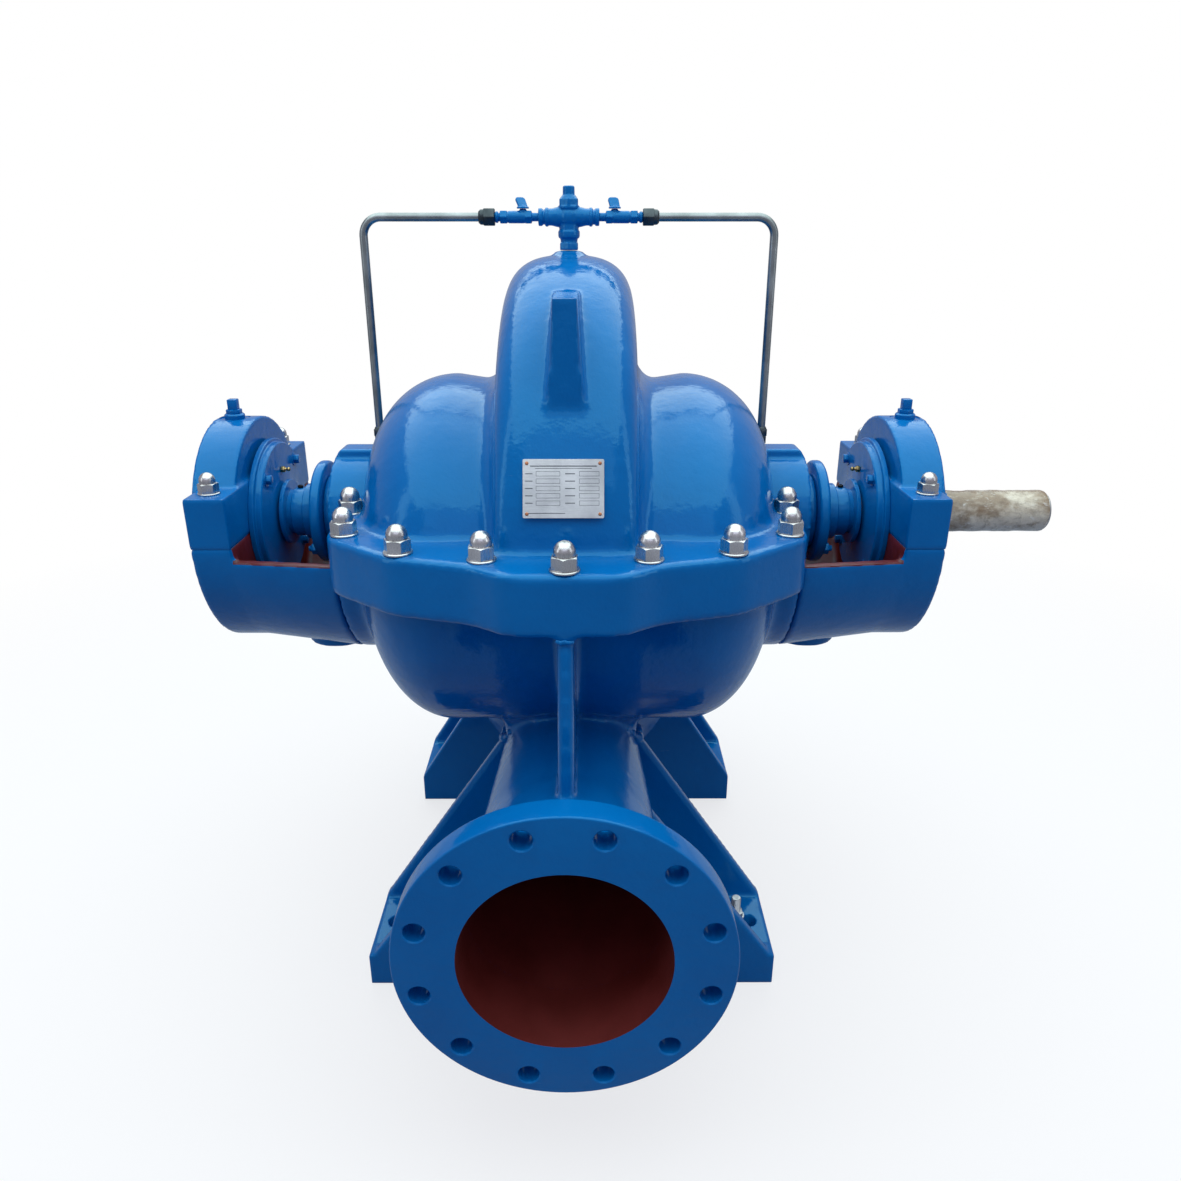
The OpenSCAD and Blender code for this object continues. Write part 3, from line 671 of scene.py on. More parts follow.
def buildBeads():
    # the raw bead left along the joint of the neck and the belly, and at both ends of the rib
    bm = bmesh.new()
    places = []
    for turn in range(-beads["reach"], beads["reach"] + 1, beads["step"]):
        a = math.radians(turn)
        y = -0.45
        while y < -0.05:
            neck = mix(dischargeNeck["root"], dischargeNeck["bend"], y / dischargeNeck["collarY"])
            x, z = neck * math.sin(a), nozzleDrop + neck * math.cos(a)
            around = math.degrees(math.atan2(z, -y)) % 360
            if math.hypot(y, z) < skinRadiusAt(around, x):
                break
            y += 0.001
        if abs(x) > 0.011:
            out = Vector((math.sin(a), 0, math.cos(a))) + Vector((0, y, z)).normalized()
            places.append((Vector((x, y, z)) + out * beads["out"], 1 + (abs(turn) > 66) * 0.9))
    for index in range(5):
        x = -0.0088 + 0.0044 * index
        places.append((Vector((x, -0.4520, nozzleDrop + 0.1400)), 0.9))
        places.append((Vector((x, -0.4115, -0.0415)), 0.7))
    for place, share in places:
        shift = Vector([random.uniform(-1, 1) * beads["jitter"] for axis in range(3)])
        size = beads["size"] * share * random.uniform(0.75, 1.3)
        bmesh.ops.create_icosphere(bm, subdivisions=2, radius=size, matrix=Matrix.Translation(place + shift))
    item = makeObject("castingBeads", bm, enamel)
    castOver(item, beads["voxel"], 2)
    return seat(item, "pump", "blue_enamel", crease=1.2)


buildUpperCasing()
buildLowerCasing()
buildBeads()
bpy.data.objects.remove(splitBlock)
print("casing built")

# nozzle flanges

discharge = {
    "faceY": -0.571, "joinY": -0.480, "bore": 0.127, "neck": 0.141, "outer": 0.2025,
    "pitch": 0.1775, "node": "discharge_nozzle",
}
suction = {
    "faceY": 0.600, "joinY": 0.500, "bore": 0.150, "neck": 0.172, "outer": 0.230,
    "pitch": 0.205, "node": "suction_nozzle",
}
nozzleFlange = {"thick": 0.036, "holes": 12, "hole": 0.013, "edge": 0.0025, "fillet": 0.010}


def buildNozzle(name, size):
    thick, edge, fillet = nozzleFlange["thick"], nozzleFlange["edge"], nozzleFlange["fillet"]
    length = abs(size["faceY"] - size["joinY"])
    outer, neck, bore = size["outer"], size["neck"], size["bore"]
    profile = [(0, bore), (0, outer - edge)]
    for step in range(1, 5):
        a = math.radians(90 * step / 4)
        profile.append((edge * (1 - math.cos(a)), outer - edge + edge * math.sin(a)))
    for step in range(5):
        a = math.radians(90 * step / 4)
        profile.append((thick - edge + edge * math.sin(a), outer - edge + edge * math.cos(a)))
    for step in range(7):
        a = math.radians(90 * step / 6)
        profile.append((thick + fillet * (1 - math.cos(a)), neck + fillet * (1 - math.sin(a))))
    profile += [(length, neck), (length, bore)]
    direction = 1 if size["faceY"] < size["joinY"] else -1
    bm = bmesh.new()
    addTurned(bm, profile, (0, size["faceY"], nozzleDrop), (0, direction, 0), 128, closed=True)
    for face in bm.faces:
        middle = face.calc_center_median()
        if math.hypot(middle.x, middle.z - nozzleDrop) < bore + 0.0005:
            face.material_index = 1
    flange = makeObject(name, bm, enamel, primer)
    holes = bmesh.new()
    radius = nozzleFlange["hole"]
    for index in range(nozzleFlange["holes"]):
        a = math.radians(360 * (index + 0.5) / nozzleFlange["holes"])
        centre = (size["pitch"] * math.cos(a), size["faceY"], nozzleDrop + size["pitch"] * math.sin(a))
        addTurned(holes, [
            (-0.004, 0), (-0.004, radius + 0.006), (0.0015, radius), (thick - 0.0015, radius),
            (thick + 0.004, radius + 0.006), (thick + 0.004, 0),
        ], centre, (0, direction, 0), 32)
    carve(flange, holes, enamel)
    return seat(flange, "pump", "blue_enamel", size["node"])


buildNozzle("dischargeNozzle", discharge)
buildNozzle("suctionNozzle", suction)
print("nozzles built")

# feet

foot = {
    "outerX": 0.329, "innerX": 0.196, "padThick": 0.058, "padLength": 0.162, "web": 0.020, "hole": 0.014,
    "holeX": 0.298, "holeY": 0.263,
}


def buildFoot(name, node, side, end, frontOutline, rearOutline):
    # made in floor coordinates, so its origin is the floor's; end is -1 in front and 1 behind
    bm = bmesh.new()
    holeY = end * foot["holeY"]
    half = foot["padLength"] / 2
    addBox(bm, (foot["innerX"], holeY - half, 0), (foot["outerX"], holeY + half, foot["padThick"]))
    for edgeY, outline in ((holeY - half, frontOutline), (holeY + half - foot["web"], rearOutline)):
        addSlab(bm, [(x, edgeY, z) for x, z in outline], (0, foot["web"], 0))
    toSide(bm, side)
    item = makeObject(name, bm, enamel)
    castOver(item, 0.0035, 4)
    hole = bmesh.new()
    addTurned(hole, [
        (-0.01, 0), (-0.01, foot["hole"]), (foot["padThick"] - 0.0015, foot["hole"]),
        (foot["padThick"] + 0.004, foot["hole"] + 0.006), (foot["padThick"] + 0.004, 0),
    ], (side * foot["holeX"], holeY, 0), (0, 0, 1), 32)
    carve(item, hole, enamel)
    return seat(item, "pump", "blue_enamel", node, origin=Vector(), crease=0.9)


# web outlines as (x, z); the rear ones end inside the wall of the suction neck
noseWeb = [(0.196, 0), (0.329, 0), (0.329, 0.047), (0.112, 0.346), (0.085, 0.301)]
frontWeb = [(0.196, 0), (0.329, 0), (0.329, 0.058), (0.108, 0.384), (0.085, 0.301)]
rearWeb = [
    (0.100, 0), (0.329, 0), (0.329, 0.058), (0.1567, 0.3286), (0.149, 0.303), (0.130, 0.268), (0.100, 0.236),
]
buildFoot("frontLeftFoot", "front_left_foot", -1, -1, noseWeb, frontWeb)
buildFoot("frontRightFoot", "front_right_foot", 1, -1, noseWeb, frontWeb)
buildFoot("rearLeftFoot", "rear_left_foot", -1, 1, rearWeb, rearWeb)
buildFoot("rearRightFoot", "rear_right_foot", 1, 1, rearWeb, rearWeb)
print("feet built")

# nuts

nut = {
    "flats": 0.030, "hexHigh": 0.016, "dome": 0.0135, "high": 0.034, "washer": 0.0185, "washerThick": 0.003,
}
nutPlaces = [
    (0.101, -0.357), (0.207, -0.330), (0.292, -0.255), (0.307, -0.154),
    (0.112, 0.440), (0.203, 0.355), (0.290, 0.282), (0.307, 0.170),
]


def makeNutMesh():
    thick = nut["washerThick"]
    corner = nut["flats"] / 2 / math.cos(math.radians(30))
    hexes = bmesh.new()
    bmesh.ops.create_cone(
        hexes, cap_ends=True, segments=6, radius1=corner, radius2=corner, depth=nut["hexHigh"],
        matrix=Matrix.Translation((0, 0, thick + nut["hexHigh"] / 2)),
    )
    item = makeObject("nut", hexes, stainless)
    chamfer = bmesh.new()
    top = thick + nut["hexHigh"]
    addTurned(chamfer, [
        (thick - 0.001, 0), (thick - 0.001, corner - 0.002), (thick + 0.0012, corner + 0.0002),
        (top - 0.0016, corner + 0.0002), (top, nut["flats"] / 2 - 0.0003), (top + 0.002, 0),
    ], (0, 0, 0), (0, 0, 1), 48)
    carve(item, chamfer, None, "INTERSECT")
    bm = bmesh.new()
    bm.from_mesh(item.data)
    bpy.data.objects.remove(item)
    domeZ = nut["high"] + thick - nut["dome"]
    profile = [
        (top - 0.004, 0), (top - 0.004, nut["dome"] - 0.0006), (top + 0.0008, nut["dome"] - 0.0006),
        (top + 0.0014, nut["dome"]),
    ]
    for step in range(9):
        a = math.radians(90 * step / 8)
        profile.append((domeZ + nut["dome"] * math.sin(a), nut["dome"] * math.cos(a)))
    addTurned(bm, profile, (0, 0, 0), (0, 0, 1), 40)
    addTurned(bm, [
        (0, 0), (0, nut["washer"] - 0.0006), (0.0006, nut["washer"]), (thick - 0.0009, nut["washer"]),
        (thick, nut["washer"] - 0.001), (thick, 0),
    ], (0, 0, 0), (0, 0, 1), 48)
    settle(bm)
    mesh = bpy.data.meshes.new("nutMesh")
    bm.to_mesh(mesh)
    bm.free()
    return mesh


def buildNuts(name, node, places, size):
    bm = bmesh.new()
    for place in places:
        first = len(bm.verts)
        bm.from_mesh(nutMesh)
        bm.verts.ensure_lookup_table()
        turn = Matrix.Rotation(random.uniform(0, math.pi / 3), 4, "Z")
        matrix = Matrix.Translation(place) @ turn @ Matrix.Scale(size, 4)
        bmesh.ops.transform(bm, matrix=matrix, verts=bm.verts[first:])
    item = makeObject(name, bm, stainless)
    seat(item, "pump", "stainless_nut", node)
    item.data.set_sharp_from_angle(angle=0.5)
    return item


nutMesh = makeNutMesh()
flangeNuts = [(side * x, y, casing["upThick"]) for x, y in nutPlaces for side in (1, -1)]
flangeNuts += [(0, -0.395, casing["upThick"]), (0, 0.483, casing["upThick"])]
buildNuts("casingNuts", "casing_nuts", flangeNuts, 1)
capNuts = [(x, y, 0.072) for x in (-0.501, 0.501) for y in (-0.160, 0.160)]
buildNuts("capNuts", "cap_nuts", capNuts, 0.82)
bpy.data.meshes.remove(nutMesh)
print("nuts built")

# bearing brackets

bracket = {
    "rootX": 0.325, "faceX": 0.470, "outX": 0.527, "rootRadius": 0.212, "radius": 0.193,
    "wall": 0.016, "lip": -0.019, "housing": 0.100, "drain": 0.052, "drainX": 0.383,
}


def buildBracket(name, node, side):
    b = bracket
    bm = bmesh.new()
    addRound(bm, (b["rootX"], 0, 0), (b["faceX"] + 0.004, 0, 0), b["rootRadius"], b["radius"], 96)
    shell = makeObject("trough", bm, troughEnamel)
    inside = bmesh.new()
    addRound(
        inside, (b["rootX"] - 0.01, 0, 0), (b["faceX"], 0, 0),
        b["rootRadius"] - b["wall"] + 0.0013, b["radius"] - b["wall"], 96,
    )
    carve(shell, inside)
    above = bmesh.new()
    addBox(above, (0.2, -0.3, b["lip"]), (b["faceX"] + 0.01, 0.3, 0.3))
    carve(shell, above)
    bm = bmesh.new()
    addRound(bm, (b["faceX"], 0, 0), (b["outX"], 0, 0), b["radius"], b["radius"], 96)
    pedestal = makeObject("pedestal", bm, troughEnamel)
    above = bmesh.new()
    addBox(above, (0.2, -0.3, 0), (0.6, 0.3, 0.3))
    carve(pedestal, above)
    whole = copyOf(shell)
    whole.from_mesh(pedestal.data)
    drainLow, drainTop = -b["rootRadius"] - 0.002, -b["rootRadius"] + 0.014
    addRound(whole, (b["drainX"], 0, drainLow), (b["drainX"], 0, drainTop), b["drain"], b["drain"])
    for part in (shell, pedestal):
        bpy.data.objects.remove(part)
    toSide(whole, side)
    item = makeObject(name, whole, troughEnamel)
    castOver(item, 0.004, 3)
    housing = bmesh.new()
    addRound(housing, (side * 0.46, 0, 0), (side * 0.54, 0, 0), b["housing"], b["housing"])
    carve(item, housing)
    return seat(item, "pump", "blue_enamel", node, crease=0.9)


buildBracket("leftBracket", "left_bearing_bracket", -1)
buildBracket("rightBracket", "right_bearing_bracket", 1)
print("brackets built")

# bearing caps and covers

cap = {
    "inX": 0.476, "outX": 0.538, "radius": 0.149, "footHigh": 0.072, "footHalf": 0.193, "plugX": 0.512,
    "spot": 0.0225, "spotDeep": 0.0018,
}
cover = {
    "disc": 0.109, "ring": 0.115, "hub": 0.058, "bore": 0.035, "screwPitch": 0.097, "outerPitch": 0.086,
    "screwFlats": 0.013, "screwHigh": 0.0085, "screwFlange": 0.0105, "flangeThick": 0.0012,
}


def buildCap(name, node, side):
    bm = bmesh.new()
    addRound(bm, (cap["inX"], 0, 0), (cap["outX"], 0, 0), cap["radius"], cap["radius"], 128)
    arch = makeObject("arch", bm, enamel)
    below = bmesh.new()
    addBox(below, (0.4, -0.3, -0.3), (0.6, 0.3, 0))
    carve(arch, below)
    whole = copyOf(arch)
    bpy.data.objects.remove(arch)
    low, high = (bracket["faceX"], -cap["footHalf"], 0), (bracket["outX"], cap["footHalf"], cap["footHigh"])
    addBox(whole, low, high)
    toSide(whole, side)
    item = makeObject(name, whole, enamel)
    castOver(item, 0.003, 3)
    housing = bmesh.new()
    addRound(housing, (side * 0.46, 0, 0), (side * 0.55, 0, 0), bracket["housing"], bracket["housing"], 96)
    carve(item, housing)
    spot = bmesh.new()
    plugX = side * cap["plugX"]
    spotLow, spotHigh = (plugX, 0, cap["radius"] - cap["spotDeep"]), (plugX, 0, cap["radius"] + 0.01)
    addRound(spot, spotLow, spotHigh, cap["spot"], cap["spot"], 48)
    carve(item, spot)
    return seat(item, "pump", "blue_enamel", node, crease=0.9)


def addHexHead(bm, place, direction, flats, high):
    # a hexagon head or nut with turned corners, standing on a face
    place, direction = Vector(place), Vector(direction)
    corner = flats / 2 / math.cos(math.radians(30))
    verts = addRound(bm, place, place + direction * high, corner, corner, 6)
    edges = {edge for vert in verts for edge in vert.link_edges}
    bmesh.ops.bevel(
        bm, geom=list(edges), offset=flats * 0.045, segments=2, profile=0.5, affect="EDGES", material=-1
    )


def addCoverScrews(bm, x, out, pitch, count):
    # flanged screws in a ring; out is -1 where their heads face the casing
    c = cover
    for index in range(count):
        a = math.radians(180 / count + 360 * index / count)
        place = Vector((x, pitch * math.cos(a), pitch * math.sin(a)))
        addHexHead(bm, place, (out, 0, 0), c["screwFlats"], c["screwHigh"])
        rim = place + Vector((out * c["flangeThick"], 0, 0))
        addRound(bm, place, rim, c["screwFlange"], c["screwFlange"], 32)


def buildInnerCover(name, node, side):
    c = cover
    bm = bmesh.new()
    addTurned(bm, [
        (0.476, c["bore"]), (0.476, 0.0995), (0.4702, 0.0995), (0.4702, c["ring"] - 0.001),
        (0.4692, c["ring"]), (0.4632, c["ring"]), (0.462, c["ring"] - 0.0012), (0.462, c["disc"] + 0.0012),
        (0.4606, c["disc"]), (0.4538, c["disc"]), (0.452, c["disc"] - 0.0018), (0.452, 0.047),
        (0.4512, 0.045), (0.4512, c["bore"] + 0.001), (0.4522, c["bore"]),
    ], (0, 0, 0), (1, 0, 0), 96, closed=True)
    addCoverScrews(bm, 0.4522, -1, c["screwPitch"], 4)
    toSide(bm, side)
    item = makeObject(name, bm, enamel)
    softenEdges(item, 0.0006)
    return seat(item, "pump", "blue_enamel", node)


def buildOuterCover(name, node, side):
    c = cover
    bm = bmesh.new()
    profile = [
        (0.5381, c["bore"]), (0.5381, c["disc"] - 0.001), (0.5391, c["disc"]), (0.5522, c["disc"]),
        (0.554, c["disc"] - 0.0018), (0.554, c["hub"] + 0.003), (0.5549, c["hub"] + 0.0009),
        (0.557, c["hub"]), (0.5625, c["hub"]), (0.564, c["hub"] - 0.0015),
    ]
    if side > 0:
        profile += [(0.564, c["bore"] + 0.002), (0.562, c["bore"])]
        addTurned(bm, profile, (0, 0, 0), (1, 0, 0), 96, closed=True)
    else:
        profile = [(0.5381, 0)] + profile[1:] + [(0.564, 0)]
        addTurned(bm, profile, (0, 0, 0), (1, 0, 0), 96)
    addCoverScrews(bm, 0.5538, 1, c["outerPitch"], 6)
    toSide(bm, side)
    item = makeObject(name, bm, enamel)
    softenEdges(item, 0.0006)
    return seat(item, "pump", "blue_enamel", node)


for side, word in ((-1, "left"), (1, "right")):
    buildCap(word + "Cap", word + "_bearing_cap", side)
    buildInnerCover(word + "InnerCover", word + "_inner_cover", side)
    buildOuterCover(word + "OuterCover", word + "_outer_cover", side)


def buildNipples():
    # grease nipples at the top of the inner covers
    bm = bmesh.new()
    for side in (-1, 1):
        base = Vector((side * 0.4515, 0, 0.068))
        out = Vector((-side, 0, 0))
        addHexHead(bm, base, out, 0.009, 0.006)
        addTurned(bm, [
            (0.006, 0), (0.006, 0.0028), (0.0085, 0.0022), (0.0095, 0.003), (0.0115, 0.0034),
            (0.0135, 0.0026), (0.0145, 0.0012), (0.0145, 0),
        ], base, out, 20)
    item = makeObject("greaseNipples", bm, brass)
    return seat(item, "pump", "dark_fitting")


def buildPlugs():
    bm = bmesh.new()
    for side in (-1, 1):
        base = Vector((side * cap["plugX"], 0, cap["radius"] + 0.0003))
        addTurned(bm, [
            (-0.0025, 0), (-0.0025, 0.0148), (0.0010, 0.015), (0.0038, 0.015), (0.0055, 0.0135),
            (0.006, 0.012), (0.006, 0),
        ], base, (0, 0, 1), 40)
        addHexHead(bm, base + Vector((0, 0, 0.0058)), (0, 0, 1), 0.021, 0.0064)
        middle = Matrix.Translation(base + Vector((0, 0, 0.0195)))
        head = bmesh.ops.create_cube(bm, size=1, matrix=middle @ Matrix.Diagonal((0.014, 0.014, 0.0155, 1)))
        edges = list({edge for vert in head["verts"] for edge in vert.link_edges})
        bmesh.ops.bevel(bm, geom=edges, offset=0.0013, segments=2, profile=0.5, affect="EDGES", material=-1)
    item = makeObject("capPlugs", bm, enamel)
    return seat(item, "pump", "blue_enamel", "cap_plugs")


buildNipples()
buildPlugs()
print("caps and covers built")

# stuffing boxes, glands and studs

stuffing = {
    "inX": 0.2885, "outX": 0.360, "radius": 0.093, "collar": 0.060, "padHalf": 0.023, "padOutX": 0.356,
    "padTop": 0.1035, "padCut": 0.006, "padFrom": 0.043, "bore": 0.046,
}
gland = {
    "inX": 0.377, "thick": 0.016, "radius": 0.080, "round": 0.005, "studCircle": 0.066,
    "studTurns": (45, 225),
}


def buildStuffingBox(name, node, side):
    b = stuffing
    bm = bmesh.new()
    addRound(bm, (b["inX"], 0, 0), (b["outX"], 0, 0), b["radius"], b["radius"], 96)
    addRound(bm, (b["outX"] - 0.001, 0, 0), (gland["inX"], 0, 0), b["collar"], b["collar"], 96)
    cut = b["padCut"]
    outline = [
        (b["inX"], b["padFrom"]), (b["padOutX"], b["padFrom"]), (b["padOutX"], b["padTop"] - cut),
        (b["padOutX"] - cut, b["padTop"]), (b["inX"], b["padTop"]),
    ]
    addSlab(bm, [(x, -b["padHalf"], z) for x, z in outline], (0, 2 * b["padHalf"], 0))
    toSide(bm, side)
    item = makeObject(name, bm, enamel)
    castOver(item, 0.003, 3)
    bore = bmesh.new()
    addRound(bore, (side * 0.28, 0, 0), (side * 0.38, 0, 0), b["bore"], b["bore"])
    carve(item, bore, primer)
    return seat(item, "pump", "blue_enamel", node, crease=0.9)


def buildGland(name, node, side):
    g = gland
    start, end = g["inX"], g["inX"] + g["thick"]
    bm = bmesh.new()
    profile = [(start, 0.046), (start, g["radius"] - g["round"])]
    for corner, fromTurn in ((start + g["round"], 180), (end - g["round"], 90)):
        for step in range(5):
            a = math.radians(fromTurn - 90 * step / 4)
            profile.append((corner + g["round"] * math.cos(a), g["radius"] + g["round"] * (math.sin(a) - 1)))
    profile += [(end, 0.0475), (end - 0.0012, 0.046)]
    addTurned(bm, profile, (0, 0, 0), (1, 0, 0), 96, closed=True)
    toSide(bm, side)
    item = makeObject(name, bm, enamel)
    return seat(item, "pump", "blue_enamel", node)


def buildStuds():
    g = gland
    face = g["inX"] + g["thick"]
    bm = bmesh.new()
    for side in (-1, 1):
        for turn in g["studTurns"]:
            a = math.radians(turn)
            place = Vector((side * face, g["studCircle"] * math.cos(a), g["studCircle"] * math.sin(a)))
            out = Vector((side, 0, 0))
            addTurned(bm, [(0, 0), (0, 0.0098), (0.0014, 0.0098), (0.0014, 0)], place, out, 32)
            addHexHead(bm, place + out * 0.0013, out, 0.0165, 0.0072)
            thread = [(0.008, 0)]
            for ridge in range(4):
                thread += [(0.008 + ridge * 0.0014, 0.0049), (0.0087 + ridge * 0.0014, 0.0043)]
            thread += [(0.0138, 0.0044), (0.0139, 0)]
            addTurned(bm, thread, place, out, 20)
    item = makeObject("glandStuds", bm, enamel)
    return seat(item, "pump", "zinc_stud", "gland_studs")


for side, word in ((-1, "left"), (1, "right")):
    buildStuffingBox(word + "StuffingBox", word + "_stuffing_box", side)
    buildGland(word + "Gland", word + "_gland", side)
buildStuds()
print("stuffing boxes built")

# turning parts

sleeve = {
    "inX": 0.2935, "stepX": 0.414, "neckX": 0.433, "slingerX": 0.440, "radius": 0.044, "mid": 0.0385,
    "thin": 0.035, "slinger": 0.051,
}
film = {
    "fromX": 0.570, "toX": 0.7485, "radius": 0.0318, "crumple": 0.0018, "inside": 0.0304,
    "brown": (0.30, 0.19, 0.105, 1), "cream": (0.74, 0.61, 0.46, 1),
    "dirt": (0.17, 0.10, 0.05, 1), "crease": (0.92, 0.84, 0.74, 1),
}


def buildSleeve(name, node, side):
    s = sleeve
    bm = bmesh.new()
    end = s["slingerX"] + 0.007
    addTurned(bm, [
        (s["inX"], 0.0331), (s["inX"], s["radius"]), (0.3985, s["radius"]), (0.3995, s["radius"] - 0.0012),
        (0.4005, s["radius"]), (s["stepX"] - 0.001, s["radius"]), (s["stepX"], s["radius"] - 0.001),
        (s["stepX"], s["mid"] + 0.001), (s["stepX"] + 0.001, s["mid"]), (s["neckX"] - 0.001, s["mid"]),
        (s["neckX"], s["mid"] - 0.001), (s["neckX"], s["thin"]), (s["slingerX"], s["thin"]),
        (s["slingerX"], s["slinger"] - 0.0012), (s["slingerX"] + 0.0012, s["slinger"]),
        (end - 0.0012, s["slinger"]), (end, s["slinger"] - 0.0012), (end, 0.0331),
    ], (0, 0, 0), (1, 0, 0), 96, closed=True)
    toSide(bm, side)
    item = makeObject(name, bm, enamel)
    softenEdges(item, 0.0004)
    return seat(item, "rotor", "blue_enamel", node)


def buildGrubScrews():
    # a black grub screw stands a little proud of each sleeve
    bm = bmesh.new()
    for side in (-1, 1):
        base = (side * 0.4245, 0, sleeve["mid"] - 0.002)
        addTurned(bm, [
            (0, 0), (0, 0.0042), (0.0052, 0.0042), (0.0060, 0.0034), (0.0060, 0.0022), (0.0042, 0.0020),
            (0.0042, 0),
        ], base, (0, 0, 1), 24)
    item = makeObject("sleeveGrubScrews", bm, blackSteel)
    return seat(item, "rotor", "dark_fitting")


def buildShaft():
    bm = bmesh.new()
    addTurned(bm, [
        (-0.548, 0), (-0.548, 0.0315), (-0.5465, 0.033), (0.5545, 0.033), (0.556, 0.0315), (0.556, 0.030),
        (0.748, 0.030), (0.750, 0.028), (0.750, 0.009), (0.738, 0.0035), (0.734, 0),
    ], (0, 0, 0), (1, 0, 0), 96)
    item = makeObject("turnedShaft", bm, shaftSteel)
    softenEdges(item, 0.0003)
    return seat(item, "rotor", "shaft_steel", "shaft")


def buildWrap():
    # packing film wound around the free end, creased and bunched over the end face
    w = film
    bm = bmesh.new()
    profile = [(w["fromX"], 0.0302), (w["fromX"], w["radius"])]
    steps = 70
    for step in range(1, steps):
        profile.append((mix(w["fromX"], w["toX"] - 0.004, step / steps), w["radius"]))
    profile += [
        (w["toX"] - 0.003, w["radius"] - 0.0006), (w["toX"] - 0.001, w["radius"] - 0.0025),
        (w["toX"], w["radius"] - 0.006), (w["toX"] + 0.0006, 0.020), (w["toX"] + 0.0008, 0.012),
        (w["toX"] + 0.0009, 0.005), (w["toX"] + 0.0009, 0),
    ]
    addTurned(bm, profile, (0, 0, 0), (1, 0, 0), 160)
    settle(bm)
    for vert in bm.verts:
        along, around = vert.co.x, math.atan2(vert.co.z, vert.co.y)
        radius = math.hypot(vert.co.y, vert.co.z)
        if radius < 0.0305:
            continue
        winding = math.sin(along * 170 + around) * 0.35
        spot = Vector((along * 60, vert.co.y * 45, vert.co.z * 45))
        crease = noise.ridged_multi_fractal(spot, 1, 2.1, 4, 1, 2)
        soft = noise.noise(Vector((along * 28, vert.co.y * 30, vert.co.z * 30)))
        push = w["crumple"] * (0.45 * crease / 1.6 + 0.6 * soft + 0.25 * winding)
        grow = max(radius + push, w["inside"]) / radius
        vert.co.y *= grow
        vert.co.z *= grow
    item = makeObject("packingFilm", bm, filmLook)
    return seat(item, "rotor", "shaft_steel")


def makeFilm():
    material, tree, shader, coords = startMaterial("packingFilm")
    patches = noiseOf(tree, coords, 24, 5, 0.6, (0.7, 1, 1))
    dirt = noiseOf(tree, coords, 75, 7, 0.7)
    creases = noiseOf(tree, coords, 150, 5, 0.7, (0.5, 1, 1))
    colour = blendColours(tree, spread(tree, patches, 0.42, 0.58, 0, 1), film["brown"], film["cream"])
    colour = blendColours(tree, spread(tree, dirt, 0.5, 0.7, 0, 0.75), colour, film["dirt"])
    colour = blendColours(tree, spread(tree, creases, 0.6, 0.68, 0, 0.6), colour, film["crease"])
    link(tree, colour, shader.inputs["Base Color"])
    link(tree, spread(tree, dirt, 0.3, 0.7, 0.22, 0.45), shader.inputs["Roughness"])
    shader.inputs["Coat Weight"].default_value = 0.6
    shader.inputs["Coat Roughness"].default_value = 0.15
    bumpFrom(tree, shader, [(creases, 0.0012), (dirt, 0.0006)])
    return material


filmLook = makeFilm()
for side, word in ((-1, "left"), (1, "right")):
    buildSleeve(word + "Sleeve", word + "_sleeve", side)
buildGrubScrews()
buildShaft()
buildWrap()
print("turning parts built")

# nameplate

plate = {
    "turn": 20.6, "wide": 0.098, "high": 0.071, "shift": -0.0022, "thick": 0.0012, "stand": 0.00075,
    "corner": 0.002, "rivetIn": 0.005, "rows": 5, "rowPitch": 0.0088, "boxHigh": 0.0058, "line": 0.0004,
}


def plateMatrix():
    a = math.radians(plate["turn"])
    out = Vector((0, -math.cos(a), math.sin(a)))
    up = Vector((0, math.sin(a), math.cos(a)))
    rows = Matrix((Vector((1, 0, 0)), up, out)).transposed().to_4x4()
    middle = out * (crestRadius(plate["turn"]) + plate["stand"]) + Vector((plate["shift"], 0, 0))
    return Matrix.Translation(middle) @ rows


def addFrame(bm, left, bottom, right, top, line, low, high):
    # the four sides of an outlined blank box
    addBox(bm, (left, bottom, low), (right, bottom + line, high))
    addBox(bm, (left, top - line, low), (right, top, high))
    addBox(bm, (left, bottom + line, low), (left + line, top - line, high))
    addBox(bm, (right - line, bottom + line, low), (right, top - line, high))


